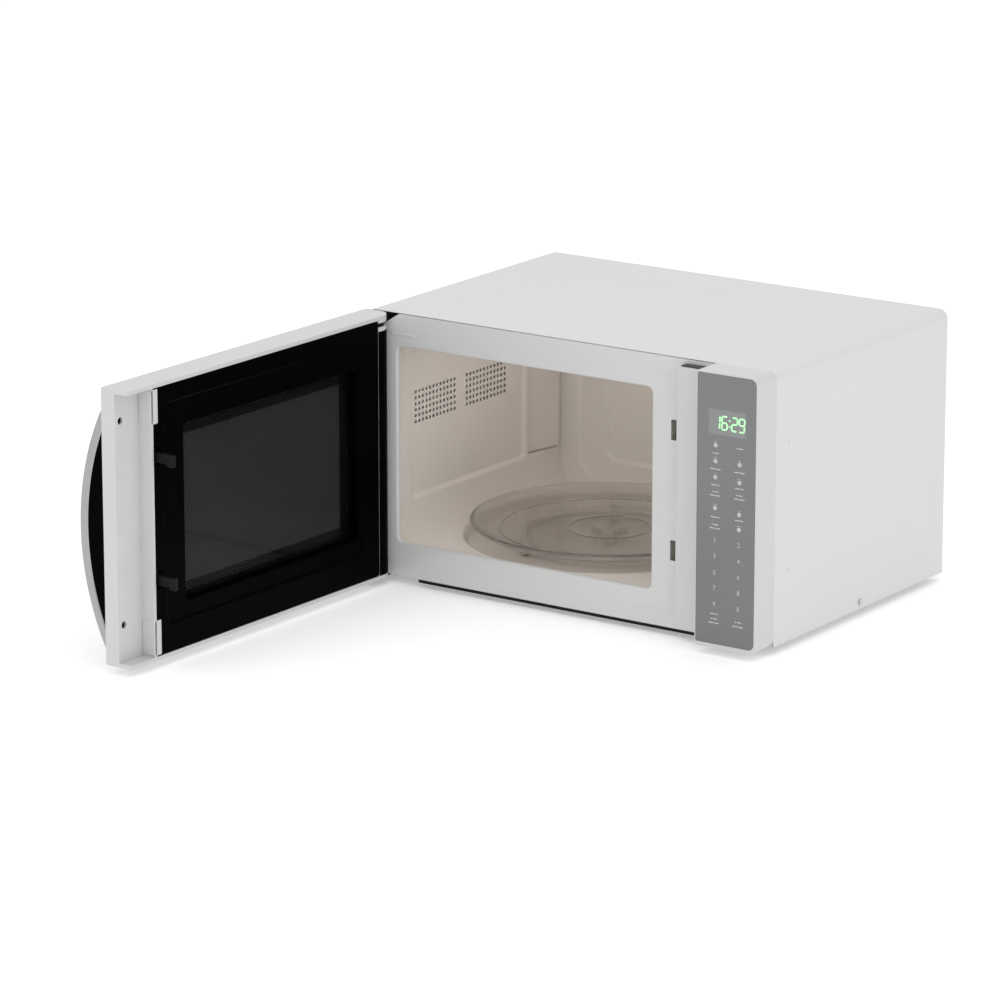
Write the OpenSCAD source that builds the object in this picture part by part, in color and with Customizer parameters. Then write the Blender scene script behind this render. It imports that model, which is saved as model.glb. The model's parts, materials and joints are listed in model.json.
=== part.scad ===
/* [Cabinet] */
// Width of the steel cabinet
case_w = 483; // [400:1:600]
// Depth of the steel cabinet, without the door
case_d = 324; // [268:1:400]
// Height of the steel cabinet, without its feet
case_h = 273; // [226:1:330]
// Thickness of the painted cabinet sheet
case_sheet = 0.8; // [0.6:0.1:1.2]
// Outer radius along the top edges of the cabinet
case_corner = 10; // [6:1:14]
// Gap between the cabinet wrap and the plates inside it
case_gap = 0.2; // [0.1:0.1:0.4]
// Height of a rubber foot below the base plate
foot_h = 8; // [5:1:14]
// Radius of a rubber foot where it meets the base plate
foot_r = 9; // [7:1:14]
// Distance from the cabinet sides to the centre of a foot
foot_inset = 40; // [30:1:60]

/* [Front plate] */
// Width of the front plate to the left of the cavity opening
left_rail = 37.5; // [37:0.5:46]
// Width of the front plate between the opening and the panel ledge
right_rail = 37; // [34:0.5:46]
// Height of the front plate below the opening
bottom_rail = 35.5; // [33:0.5:44]
// Height of the front plate above the opening
top_rail = 34.5; // [32:0.5:44]
// Corner radius of the cavity opening
opening_r = 7; // [4:1:12]
// Depth of the flange folded back round the front plate
plate_flange = 8; // [5:1:12]

/* [Cavity] */
// Thickness of the cavity sheets
liner = 0.8; // [0.6:0.1:1.2]
// How far the side walls lie outside the edge of the opening
wall_setback = 17.5; // [14:0.5:18]
// How far the ceiling lies above the edge of the opening
ceiling_setback = 4.5; // [3:0.5:10]
// Gap between the cavity back wall and the rear plate
rear_gap = 12; // [8:1:18]
// Height of the floor rim above the underside of the cabinet
floor_rim_z = 33; // [31:0.5:35]
// Depth of the round dish pressed into the floor
dish_depth = 12; // [11:0.5:12]
// Radius of one vent hole in the left wall
vent_r = 1.7; // [1.2:0.1:2.4]
// Distance between vent holes
vent_pitch = 6.2; // [5.5:0.1:6.6]
// Distance from the front plate to the first column of vent holes
vent_front = 56; // [40:1:70]
// Distance between the two groups of vent holes, column to column
vent_group_gap = 21.8; // [16:0.1:26]

/* [Turntable] */
// Gap between the glass tray and the nearest cavity wall
tray_gap = 13.5; // [10:0.5:20]
// Height of the glass tray from underside to rim
tray_h = 14.5; // [12:0.5:17]
// Thickness of the glass
glass_t = 4; // [3:0.5:5]
// Radius of a turntable roller
roller_r = 6.9; // [6.9:0.1:7.5]
// Width of a turntable roller
roller_w = 6; // [5:0.5:7]
// Radius of the circle that the rollers run on
roller_track = 96; // [84:1:100]
// Radius of the turntable motor shaft
motor_shaft_r = 3.5; // [3:0.1:4]
// Radius of the turntable motor
motor_r = 25; // [24:1:28]

/* [Door] */
// Thickness of the door from its outer to its inner face
door_t = 34; // [28:0.1:41]
// Gap between the door and the front plate when it is shut
door_gap = 0.7; // [0.5:0.1:1]
// Gap between the door and the control panel
panel_gap = 1.7; // [1.2:0.1:2.5]
// Angle of the open door, where it rests on its stop
door_open = 91.4; // [88:0.1:92]
// Wall of the moulded door frame
frame_wall = 2.5; // [2:0.1:3]
// Thickness of the outer door glass
door_glass_t = 3.2; // [3:0.1:4]
// Width of the frame left showing round the door glass
glass_border = 6; // [5:0.5:9]
// Width of the frame strip that carries the handle
handle_strip = 28; // [27:0.5:32]
// Distance from the door window to the edge of the cavity opening
window_margin = 28; // [24:0.5:36]
window_shift = 6;
// Depth of the black inner door cover
cover_depth = 13.3; // [12:0.1:13.4]
// Radius of the hinge pins
pin_r = 3; // [2.5:0.1:3.2]
// Radial running clearance of pins and shafts
running = 0.05; // [0.02:0.01:0.08]

/* [Handle] */
// Length of the handle bow along the door
handle_len = 244; // [200:1:248]
// How far the bow stands out from the door
handle_out = 31; // [24:1:40]
// Thickness of the bow at its middle
bow_t = 12; // [9:0.5:14]
// Width of the bow
bow_w = 22; // [16:1:24]
// Width of the black core under the bow
core_w = 5; // [4:0.5:7]
// Distance from the free edge of the door to the bow
handle_inset = 2; // [1:0.5:4]

/* [Latch] */
// Height of the lower latch slot's middle
latch_low_z = 78.5; // [72:0.5:84]
// Distance between the two latch slots
latch_pitch = 121; // [100:1:125]
// How far the hooks reach behind the front plate
hook_reach = 20; // [16:1:22]
// Travel of the latch hooks
latch_travel = 4; // [2:0.5:4]
// Travel of a switch plunger
plunger_travel = 1.2; // [0.8:0.1:1.5]

/* [Control panel] */
// Width of the control panel
panel_w = 69; // [60:1:80]
// Width of the ledge beside the panel, behind the door
ledge_w = 35.5; // [32:0.5:40]
// How far the ledge stands out from the front plate
ledge_t = 14; // [8:0.5:15]
// Wall of the panel moulding
panel_wall = 2.2; // [1.8:0.1:3]
// Thickness of the mirror fascia
fascia_t = 2; // [1.5:0.1:3]
// Width of the white edge round the fascia
fascia_border = 1.6; // [1.2:0.1:3]
// Corner radius of the fascia
fascia_r = 6; // [3:0.5:9]

/* [Inner units] */
// Width of the magnetron cooling fins
fin_w = 70; // [60:1:76]
// Height of the magnetron cooling fins
fin_h = 60; // [54:1:64]
// Radius of the fan blades
fan_r = 46; // [40:1:48]
// Width of the transformer core
core_x = 84; // [72:1:90]
// Height of the transformer core
core_z = 72; // [60:1:78]
// Radius of the bore in the mains lead inlet
inlet_r = 3.75; // [3:0.05:4.5]

/* [Hidden] */
$fn = 64;
eps = 0.01;
steel = "silver";
white = "white";
black = [0.06, 0.06, 0.07];
cream = [0.72, 0.67, 0.61];

// Plates inside the cabinet wrap
inner_x0 = case_sheet + case_gap;
inner_x1 = case_w - inner_x0;
inner_top = case_h - inner_x0;
inner_corner = case_corner - inner_x0;
base_t = 1;
side_screw_z = 7;
case_screw_r = 1.7;
case_screw_gap = 0.1;
screw_head_r = 3.2;
rear_y = case_d - case_sheet - case_gap;

// Panel, ledge and cavity opening across the front
panel_x = case_w - panel_w;
ledge_x = panel_x - ledge_w;
ledge_z0 = 6;
ledge_z1 = case_h - 6.4;
opening_x0 = left_rail;
opening_x1 = ledge_x - right_rail;
opening_z0 = bottom_rail;
opening_z1 = case_h - top_rail;
opening_mid_z = (opening_z0 + opening_z1) / 2;

// Cavity box, measured on its inner faces
cavity_x0 = opening_x0 - wall_setback;
cavity_x1 = opening_x1 + wall_setback;
cavity_y0 = case_sheet;
cavity_y1 = case_d - rear_gap;
cavity_top = opening_z1 + ceiling_setback;
dish_z = floor_rim_z - dish_depth;
tray_x = (cavity_x0 + cavity_x1) / 2;
tray_y = (cavity_y0 + cavity_y1) / 2;
tray_r = min(cavity_x1 - cavity_x0, cavity_y1 - cavity_y0) / 2 - tray_gap;
dish_r = tray_r + 0.6 * tray_gap;
roller_gap = 0.1;
tray_z = dish_z + 2 * roller_r + 2 * roller_gap;
roller_z = dish_z + roller_r + roller_gap;
ring_in = roller_track - roller_w / 2 - 9;
ring_t = 5;
axle_r = 2;
shaft_hole_r = motor_shaft_r + 2.5;
motor_h = 14.5;
motor_z = dish_z - liner - motor_h;
vent_cols = 12;
vent_rows = 6;
vent_group_y = [vent_front, vent_front + (vent_cols - 1) * vent_pitch + vent_group_gap];
vent_z = opening_z1 - 92;

// Door, drawn shut and then swung open about its hinge
hinge_r = door_t / 2 - door_gap;
door_x0 = 0.3;
hinge_x = door_x0 + hinge_r;
hinge_y = -door_t / 2;
door_x1 = panel_x - panel_gap;
deep_x1 = ledge_x - panel_gap;
door_z0 = 0.6;
door_z1 = case_h - 0.6;
face_y = -door_t;
back_y = -door_gap;
recess_y = -ledge_t - 2;
cap_t = 3.9;
glass_x0 = door_x0 + glass_border;
glass_x1 = door_x1 - handle_strip;
glass_z0 = door_z0 + glass_border;
glass_z1 = door_z1 - glass_border;
glass_gap = 0.3;
seat_y = face_y + door_glass_t;
seat_t = 2;
cover_x0 = hinge_x + pin_r + 4.4;
cover_x1 = deep_x1 - frame_wall - 0.3;
cover_z0 = door_z0 + cap_t + 0.3;
cover_z1 = door_z1 - cap_t - 0.3;
cover_y1 = back_y - 0.3;
cover_y0 = cover_y1 - cover_depth;
cover_wall = 2.2;
window_x0 = opening_x0 + window_margin + window_shift;
window_x1 = opening_x1 - window_margin;
window_z0 = opening_z0 + window_margin;
window_z1 = opening_z1 - window_margin;
window_lip = 14;
plate_x0 = hinge_x + pin_r + 10;
plate_y1 = cover_y0 - 0.3;
film_t = 0.3;

// Hinges: the upper tab runs through a notch in the door, the lower one under it
tab_z0 = case_h - 11;
tab_t = 2;
tab_r = pin_r + 3.5;
notch_z0 = tab_z0 - 1;
notch_z1 = tab_z0 + tab_t + 1.6;
corner_cut_z = tab_z0 - 1.5;
bush_r = pin_r + 2;
boss_r = bush_r + 2.5;
upper_bush_z1 = door_z1 - 1.4;
lower_bush_z1 = door_z0 + 6.4;
lower_tab_z = -2.6;

// Handle bow, drawn as two arcs in a side view
handle_z = opening_mid_z - 4;
bow_x1 = door_x1 - handle_inset;
bow_x0 = bow_x1 - bow_w;
core_len = handle_len - 52;
screw_x = bow_x1 - 6;
handle_screw_z = [handle_z - 92, handle_z + 108];
handle_screw_r = 1.7;
handle_screw_head_r = 3.2;
handle_screw_reach = 3.5;

// Latch hooks, slots, switches
slot_h = 21;
slot_w = 12;
slot_x1 = ledge_x - 3;
slot_x0 = slot_x1 - slot_w;
hook_w = 4.6;
hook_h = 12;
hook_x1 = cover_x1 - cover_wall - 0.7;
hook_x0 = hook_x1 - hook_w;
latch_z = [latch_low_z, latch_low_z + latch_pitch];
bar_y1 = cover_y1 - cover_wall - 0.8;
bar_y0 = bar_y1 - 4;
spring_r = 2.4;
spring_wire = 0.4;
spring_turns = 6;
spring_h = 14;
spring_z = latch_low_z + latch_pitch + hook_h / 2;
latch_block_x0 = slot_x0 - 2;
latch_block_x1 = ledge_x + 2.5;
latch_block_y1 = hook_reach + 24;
switch_x0 = slot_x0 + 1;
switch_w = 10.3;
switch_y0 = hook_reach + 6.5;
switch_d = 15.9;
switch_h = 27.8;
monitor_z = latch_low_z + latch_pitch / 2;
switch_z = [latch_z[1], monitor_z, latch_z[0]];
plunger_r = 1.6;
plunger_out = 5;
plunger_in = 6;

// Control panel
fascia_x0 = panel_x + fascia_border;
fascia_x1 = case_w - fascia_border;
fascia_z0 = 4.4;
fascia_z1 = case_h - fascia_border;
panel_seat_y = face_y + fascia_t;
panel_left_r = 1.5;
fascia_gap = 0.2;
board_x0 = panel_x + 8;
board_x1 = case_w - 8;
board_z0 = 26;
board_z1 = case_h - 14;
board_y = panel_seat_y + 9;
board_t = 1.6;
board_screw_dx = (board_x1 - board_x0) / 2 - 4;
board_screw_z = [board_z0 + 5, board_z1 - 5];
display_z0 = case_h - 66;
display_h = 32;
display_x0 = panel_x + 12;
display_w = 42;

// Units in the machine space to the right of the cavity
mag_y = rear_y - 98;
mag_z = case_h - 83;
guide_x0 = cavity_x1 + liner;
guide_x1 = guide_x0 + 32;
guide_y0 = mag_y - 100;
guide_y1 = mag_y + 34;
guide_h = 60;
feed_y0 = guide_y0 + 8;
feed_w = 66;
feed_h = 46;
yoke_t = 2;
yoke_half_w = fin_w / 2 + 3;
yoke_half_h = fin_h / 2 + 1;
yoke_x0 = guide_x1 + 1.6;
magnet_t = 12;
anode_l = 34;
anode_r = 20;
magnet_r = 27;
antenna_r = 7.5;
filter_t = 20;
fin_count = 6;
fin_t = 0.6;
anode_x0 = yoke_x0 + yoke_t + magnet_t;
anode_x1 = anode_x0 + anode_l;
yoke_x1 = anode_x1 + magnet_t;
fan_x = guide_x0 + 61;
fan_z = mag_z;
shroud_y0 = rear_y - 28;
shroud_wall = 2;
shroud_r = fan_r + 4;
shroud_half = shroud_r + 4;
fan_shaft_r = 1.5;
rotor_r = 11;
stator_d = 16;
stator_y1 = shroud_y0 - 3;
stator_y0 = stator_y1 - stator_d;
blade_y0 = shroud_y0 + 5;
blade_h = 14;
blade_count = 5;
duct_h = 62;
duct_wall = 1.5;
duct_y1 = mag_y - yoke_half_w - 0.3;
duct_y0 = duct_y1 - 104;
duct_x0 = guide_x0;
duct_x1 = case_w - 8;
lamp_y = 74;
lamp_z = case_h - 24;
lamp_port_r = 1.6;
transformer_x = guide_x0 + 64;
transformer_y = 104;
transformer_z = base_t + 3;
stack_y = 58;
limb = core_z / 5;
capacitor_y = 186;
inlet_x = case_w - 62;
inlet_z = 36;
inlet_flange_r = 11;
inlet_body_r = 8;
rear_screw_x = [12, case_w - 12];
rear_screw_z = [14, case_h - 22];

// ---- Placing helpers -------------------------------------------------------------------

// From cabinet coordinates (left, front, underside) to the frame of the whole oven
module in_case() {
    translate([-case_w / 2, -case_d / 2, foot_h]) children();
}

// A door piece is drawn with the door shut and swung open here
module on_door() {
    in_case()
        translate([hinge_x, hinge_y, 0])
            rotate([0, 0, -door_open])
                translate([-hinge_x, -hinge_y, 0]) children();
}

// A block between two corners
module block(a, b) {
    translate(a) cube(b - a);
}

// A sheet facing front and back, drawn in X and Z
module front_sheet(y0, y1) {
    translate([0, y1, 0]) rotate([90, 0, 0]) linear_extrude(y1 - y0) children();
}

// A sheet facing left and right, drawn in Y and Z
module side_sheet(x0, x1) {
    translate([x0, 0, 0]) rotate([90, 0, 90]) linear_extrude(x1 - x0) children();
}

// A flat rectangle between two corners
module rect(a, b) {
    translate(a) square(b - a);
}

// A rectangle with four round corners
module round_rect(a, b, r) {
    rect([a[0] + r, a[1]], [b[0] - r, b[1]]);
    rect([a[0], a[1] + r], [b[0], b[1] - r]);
    for (x = [a[0] + r, b[0] - r], y = [a[1] + r, b[1] - r])
        translate([x, y]) circle(r);
}

// A rectangle whose two upper corners are round
module arch_rect(a, b, r) {
    rect(a, [b[0], b[1] - r]);
    rect([a[0] + r, a[1]], [b[0] - r, b[1]]);
    for (x = [a[0] + r, b[0] - r])
        translate([x, b[1] - r]) circle(r);
}

// A rectangle with one radius at its left corners and one at its right corners
module two_radius_rect(a, b, left_r, right_r) {
    rect([a[0] + left_r, a[1]], [b[0] - right_r, b[1]]);
    rect([a[0], a[1] + left_r], [a[0] + left_r, b[1] - left_r]);
    rect([b[0] - right_r, a[1] + right_r], [b[0], b[1] - right_r]);
    for (z = [a[1] + left_r, b[1] - left_r])
        translate([a[0] + left_r, z]) circle(left_r);
    for (z = [a[1] + right_r, b[1] - right_r])
        translate([b[0] - right_r, z]) circle(right_r);
}

// A rod along Y
module rod_y(x, z, r, y0, y1) {
    translate([x, y0, z]) rotate([-90, 0, 0]) cylinder(r = r, h = y1 - y0);
}

// A rod along X
module rod_x(y, z, r, x0, x1) {
    translate([x0, y, z]) rotate([0, 90, 0]) cylinder(r = r, h = x1 - x0);
}

// ---- Cabinet ---------------------------------------------------------------------------

module outer_case() {
    color(white) in_case() difference() {
        front_sheet(0, case_d) difference() {
            arch_rect([0, 0], [case_w, case_h], case_corner);
            arch_rect([case_sheet, -1], [case_w - case_sheet, case_h - case_sheet],
                      case_corner - case_sheet);
        }
        side_screw_holes();
    }
}

module side_screw_holes() {
    rod_x(case_d / 2, side_screw_z, case_screw_r, -1, case_w + 1);
}

module front_outline(inset) {
    arch_rect([inner_x0 + inset, base_t + inset], [inner_x1 - inset, inner_top - inset],
              inner_corner - inset);
}

module front_plate() {
    color(white) in_case() difference() {
        front_sheet(0, case_sheet + plate_flange) front_outline(0);
        front_sheet(case_sheet, case_sheet + plate_flange + 1) front_outline(case_sheet);
        front_sheet(-1, case_sheet + plate_flange + 1) {
            round_rect([opening_x0, opening_z0], [opening_x1, opening_z1], opening_r);
            for (z = latch_z)
                rect([slot_x0, z - slot_h / 2], [slot_x1, z + slot_h / 2]);
            rect([panel_x + 4, board_z0], [inner_x1 - 6, board_z1]);
            polygon([[-1, corner_cut_z], [hinge_x + 5.4, corner_cut_z],
                     [hinge_x + 25, case_h + 1], [-1, case_h + 1]]);
        }
    }
}

module cavity_left_wall() {
    color(cream) in_case()
        side_sheet(cavity_x0 - liner, cavity_x0) difference() {
            rect([cavity_y0, floor_rim_z - liner], [cavity_y1, cavity_top + liner]);
            for (y0 = vent_group_y, i = [0:vent_cols - 1], j = [0:vent_rows - 1])
                translate([y0 + i * vent_pitch, vent_z + j * vent_pitch])
                    circle(vent_r, $fn = 24);
        }
}

module cavity_right_wall() {
    color(cream) in_case()
        side_sheet(cavity_x1, cavity_x1 + liner) difference() {
            rect([cavity_y0, floor_rim_z - liner], [cavity_y1, cavity_top + liner]);
            rect([feed_y0, mag_z - feed_h / 2], [feed_y0 + feed_w, mag_z + feed_h / 2]);
            for (i = [0:3], j = [0:7])
                translate([duct_y0 + 6 + i * vent_pitch, mag_z - 22 + j * vent_pitch])
                    circle(vent_r, $fn = 24);
            for (i = [-2:2], j = [-1:0])
                translate([lamp_y + i * 6, lamp_z - 12 + j * 6]) circle(lamp_port_r, $fn = 24);
        }
}

module cavity_ceiling() {
    color(cream) in_case()
        block([cavity_x0, cavity_y0, cavity_top], [cavity_x1, cavity_y1, cavity_top + liner]);
}

module cavity_floor() {
    color(cream) in_case() difference() {
        union() {
            block([cavity_x0, cavity_y0, floor_rim_z - liner],
                  [cavity_x1, cavity_y1, floor_rim_z]);
            translate([tray_x, tray_y, dish_z - liner])
                cylinder(r = dish_r + liner, h = dish_depth, $fn = 96);
        }
        translate([tray_x, tray_y, dish_z])
            cylinder(r = dish_r, h = dish_depth + 1, $fn = 96);
        translate([tray_x, tray_y, dish_z - 2]) cylinder(r = shaft_hole_r, h = 4);
    }
}

module cavity_back_wall() {
    color(cream) in_case()
        block([cavity_x0 - liner, cavity_y1, floor_rim_z - liner],
              [cavity_x1 + liner, cavity_y1 + liner, cavity_top + liner]);
}

module base_plate() {
    color(steel) in_case() difference() {
        union() {
            block([inner_x0, case_gap, 0], [inner_x1, rear_y, base_t]);
            for (x = [inner_x0, inner_x1 - base_t])
                block([x, case_sheet + plate_flange + 1, 0], [x + base_t, rear_y, 13]);
        }
        side_screw_holes();
        for (i = [0:8])
            block([guide_x0 + 14, 96 + i * 9, -1], [guide_x0 + 24, 100 + i * 9, base_t + 1]);
    }
}

module vent_slots(x0, z0, cols, rows, slot_l, pitch_x, pitch_z) {
    for (i = [0:cols - 1], j = [0:rows - 1])
        translate([x0 + i * pitch_x, z0 + j * pitch_z])
            round_rect([0, 0], [slot_l, 3], 1.49);
}

module rear_plate() {
    color(steel) in_case()
        front_sheet(rear_y, rear_y + case_sheet) difference() {
            arch_rect([inner_x0, base_t], [inner_x1, inner_top], inner_corner);
            vent_slots(fan_x - 38, fan_z - 36, 2, 10, 34, 42, 8);
            vent_slots(cavity_x0 + 18, opening_mid_z - 30, 3, 8, 30, 36, 8);
            translate([inlet_x, inlet_z]) circle(inlet_body_r);
            for (x = rear_screw_x, z = rear_screw_z)
                translate([x, z]) circle(case_screw_r);
        }
}

module feet() {
    color(black) in_case()
        for (x = [foot_inset, case_w - foot_inset], y = [foot_inset, case_d - foot_inset])
            translate([x, y, -foot_h]) {
                cylinder(r1 = foot_r - 1.5, r2 = foot_r, h = foot_h - 1.5);
                translate([0, 0, foot_h - 1.5]) cylinder(r = foot_r + 1, h = 1.5);
            }
}

module case_screws() {
    shank = 6;
    head_t = 1.6;
    shank_r = case_screw_r - case_screw_gap;
    color(steel) in_case() {
        for (x = [-head_t, case_w])
            rod_x(case_d / 2, side_screw_z, screw_head_r, x, x + head_t);
        for (x = [0, case_w - shank])
            rod_x(case_d / 2, side_screw_z, shank_r, x, x + shank);
        for (x = rear_screw_x, z = rear_screw_z) {
            rod_y(x, z, screw_head_r, rear_y + case_sheet, rear_y + case_sheet + head_t);
            rod_y(x, z, shank_r, rear_y - shank, rear_y + case_sheet);
        }
    }
}

// ---- Control panel ---------------------------------------------------------------------

module panel_outline(inset) {
    two_radius_rect([panel_x + inset, inset], [case_w - inset, case_h - inset],
                    panel_left_r, fascia_r + fascia_border - inset);
}

module control_panel_housing() {
    rear = -0.1;
    color(white) in_case() {
        difference() {
            front_sheet(face_y, rear) panel_outline(0);
            front_sheet(face_y - 1, panel_seat_y)
                two_radius_rect([fascia_x0 - fascia_gap, fascia_z0 - fascia_gap],
                                [fascia_x1 + fascia_gap, fascia_z1 + fascia_gap],
                                panel_left_r, fascia_r + fascia_gap);
            front_sheet(panel_seat_y + panel_wall, 1) panel_outline(panel_wall);
            front_sheet(face_y - 1, 1)
                rect([panel_x + 7, board_z0 - 12], [case_w - 7, board_z1 + 6]);
        }
        difference() {
            block([ledge_x, -ledge_t, ledge_z0], [panel_x, rear, ledge_z1]);
            block([ledge_x + panel_wall, -ledge_t + panel_wall, ledge_z0 + panel_wall],
                  [panel_x - panel_wall, 1, ledge_z1 - panel_wall]);
        }
        for (side = [-1, 1], z = board_screw_z)
            board_boss((board_x0 + board_x1) / 2 + side * board_screw_dx, z, side, rear);
    }
}

// A screw boss for the control board, with a rib to the side wall of the panel
module board_boss(x, z, side, rear) {
    boss_r = 3;
    rib = panel_w / 2 - board_screw_dx - panel_wall;
    difference() {
        union() {
            rod_y(x, z, boss_r, board_y + board_t, rear);
            block([side > 0 ? x : x - rib, -9, z - 1], [side > 0 ? x + rib : x, rear, z + 1]);
        }
        rod_y(x, z, 1, board_y + board_t - 1, rear + 1);
    }
}

module mirror_fascia() {
    color([0.55, 0.56, 0.57]) in_case()
        front_sheet(face_y, panel_seat_y)
            two_radius_rect([fascia_x0, fascia_z0], [fascia_x1, fascia_z1], panel_left_r, fascia_r);
}

module display_module() {
    color([0.1, 0.12, 0.1]) in_case()
        block([display_x0, panel_seat_y + 0.3, display_z0],
              [display_x0 + display_w, board_y, display_z0 + display_h]);
}

module control_board() {
    relay = [19, 15, 15];
    color([0.1, 0.35, 0.15]) in_case() {
        block([board_x0, board_y, board_z0], [board_x1, board_y + board_t, board_z1]);
        for (i = [0:1])
            translate([board_x0 + 14, board_y + board_t, board_z0 + 30 + i * 24]) cube(relay);
        block([board_x0 + 12, board_y + board_t, board_z0 + 96],
              [board_x0 + 40, board_y + board_t + 18, board_z0 + 122]);
        rod_y(board_x0 + 26, board_z0 + 146, 6, board_y + board_t, board_y + board_t + 9);
        for (i = [0:3])
            block([board_x0 + 13, board_y + board_t, board_z0 + 160 + i * 9],
                  [board_x0 + 33, board_y + board_t + 3, board_z0 + 165 + i * 9]);
    }
}

// ---- Door lock -------------------------------------------------------------------------

module latch_body() {
    color([0.85, 0.85, 0.82]) in_case() difference() {
        block([latch_block_x0, case_sheet, latch_z[0] - 22],
              [latch_block_x1, latch_block_y1, latch_z[1] + 22]);
        for (z = switch_z)
            block([slot_x0 - 0.3, 0, z - switch_h / 2 - 1.5],
                  [slot_x1 + 0.5, latch_block_y1 + 1, z + switch_h / 2 + 1.5]);
        for (z = [latch_z[0] + 30, monitor_z + 30])
            rod_x(22, z, 7, latch_block_x0 - 1, latch_block_x1 + 1);
    }
}

module interlock_switches() {
    color([0.12, 0.12, 0.13]) in_case()
        for (z = switch_z)
            difference() {
                union() {
                    block([slot_x0 - 0.3, switch_y0, z - switch_h / 2],
                          [slot_x0 - 0.3 + switch_w, switch_y0 + switch_d, z + switch_h / 2]);
                    for (k = [-1:1])
                        block([switch_x0 + 2.4, switch_y0 + switch_d, z + k * 9 - 3],
                              [switch_x0 + 3.2, switch_y0 + switch_d + 7, z + k * 9 + 3]);
                }
                rod_y(switch_x0 + 4, z, plunger_r + running, switch_y0 - 1,
                      switch_y0 + plunger_in + plunger_travel + 0.5);
            }
}

module plunger(z) {
    color("firebrick") in_case()
        rod_y(switch_x0 + 4, z, plunger_r, switch_y0 - plunger_out, switch_y0 + plunger_in);
}

module upper_plunger() { plunger(switch_z[0]); }
module monitor_plunger() { plunger(switch_z[1]); }
module lower_plunger() { plunger(switch_z[2]); }

// ---- Microwave source and cooling ------------------------------------------------------

module waveguide() {
    color(steel) in_case() difference() {
        block([guide_x0, guide_y0, mag_z - guide_h / 2], [guide_x1, guide_y1, mag_z + guide_h / 2]);
        block([guide_x0 - 1, guide_y0 + 1, mag_z - guide_h / 2 + 1],
              [guide_x1 - 1, guide_y1 - 1, mag_z + guide_h / 2 - 1]);
        rod_x(mag_y, mag_z, antenna_r + 5, guide_x1 - 3, guide_x1 + 3);
    }
}

module waveguide_cover() {
    mica_t = 0.5;
    margin = 6;
    color([0.75, 0.72, 0.66]) in_case()
        block([cavity_x1 - mica_t, feed_y0 - margin, mag_z - feed_h / 2 - margin],
              [cavity_x1, feed_y0 + feed_w + margin, mag_z + feed_h / 2 + margin]);
}

module magnetron_yoke() {
    color(steel) in_case() difference() {
        block([yoke_x0, mag_y - yoke_half_w, mag_z - yoke_half_h - yoke_t],
              [yoke_x1 + yoke_t, mag_y + yoke_half_w, mag_z + yoke_half_h + yoke_t]);
        block([yoke_x0 + yoke_t, mag_y - yoke_half_w - 1, mag_z - yoke_half_h],
              [yoke_x1, mag_y + yoke_half_w + 1, mag_z + yoke_half_h]);
        rod_x(mag_y, mag_z, antenna_r + 1.5, yoke_x0 - 1, yoke_x1 + yoke_t + 1);
    }
}

module magnetron_anode() {
    antenna_x0 = guide_x0 + 6;
    fin_pitch = anode_l / fin_count;
    color([0.72, 0.45, 0.3]) in_case() {
        rod_x(mag_y, mag_z, anode_r, anode_x0, anode_x1);
        rod_x(mag_y, mag_z, antenna_r, antenna_x0, anode_x0);
        rod_x(mag_y, mag_z, antenna_r, anode_x1, yoke_x1 + yoke_t);
        for (i = [0:fin_count - 1])
            translate([anode_x0 + (i + 0.5) * fin_pitch, mag_y - fin_w / 2, mag_z - fin_h / 2])
                cube([fin_t, fin_w, fin_h]);
    }
}

module magnetron_magnets() {
    color([0.25, 0.25, 0.27]) in_case()
        for (x = [yoke_x0 + yoke_t, anode_x1])
            difference() {
                rod_x(mag_y, mag_z, magnet_r, x, x + magnet_t);
                rod_x(mag_y, mag_z, antenna_r + 1, x - 1, x + magnet_t + 1);
            }
}

module magnetron_filter_box() {
    x0 = yoke_x1 + yoke_t;
    color(steel) in_case() {
        block([x0, mag_y - 30, mag_z - 26], [x0 + filter_t, mag_y + 24, mag_z + 26]);
        block([x0 + 4, mag_y + 24, mag_z - 12], [x0 + 16, mag_y + 32, mag_z + 12]);
    }
}

module transformer_core() {
    color([0.5, 0.5, 0.52]) in_case() difference() {
        block([transformer_x - core_x / 2, transformer_y - stack_y / 2, transformer_z],
              [transformer_x + core_x / 2, transformer_y + stack_y / 2, transformer_z + core_z]);
        for (s = [-1, 1])
            translate([transformer_x + s * core_x / 4 - core_x / 12, transformer_y - stack_y,
                       transformer_z + limb])
                cube([core_x / 6, 2 * stack_y, core_z - 2 * limb]);
    }
}

module winding_ring(z0, z1) {
    reach = 18;
    difference() {
        block([transformer_x - core_x / 3 + 0.5, transformer_y - stack_y / 2 - reach, z0],
              [transformer_x + core_x / 3 - 0.5, transformer_y + stack_y / 2 + reach, z1]);
        block([transformer_x - core_x / 6 - 0.2, transformer_y - stack_y / 2 - 0.2, z0 - 1],
              [transformer_x + core_x / 6 + 0.2, transformer_y + stack_y / 2 + 0.2, z1 + 1]);
    }
}

module transformer_windings() {
    z0 = transformer_z + limb + 0.5;
    z1 = transformer_z + core_z - limb - 0.5;
    middle = (z0 + z1) / 2;
    color([0.7, 0.32, 0.15]) in_case() {
        winding_ring(z0, middle - 1.5);
        winding_ring(middle + 1.5, z1);
    }
    color(steel) in_case()
        block([transformer_x - core_x / 2, transformer_y - stack_y / 2, base_t],
              [transformer_x + core_x / 2, transformer_y + stack_y / 2, transformer_z]);
}

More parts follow.
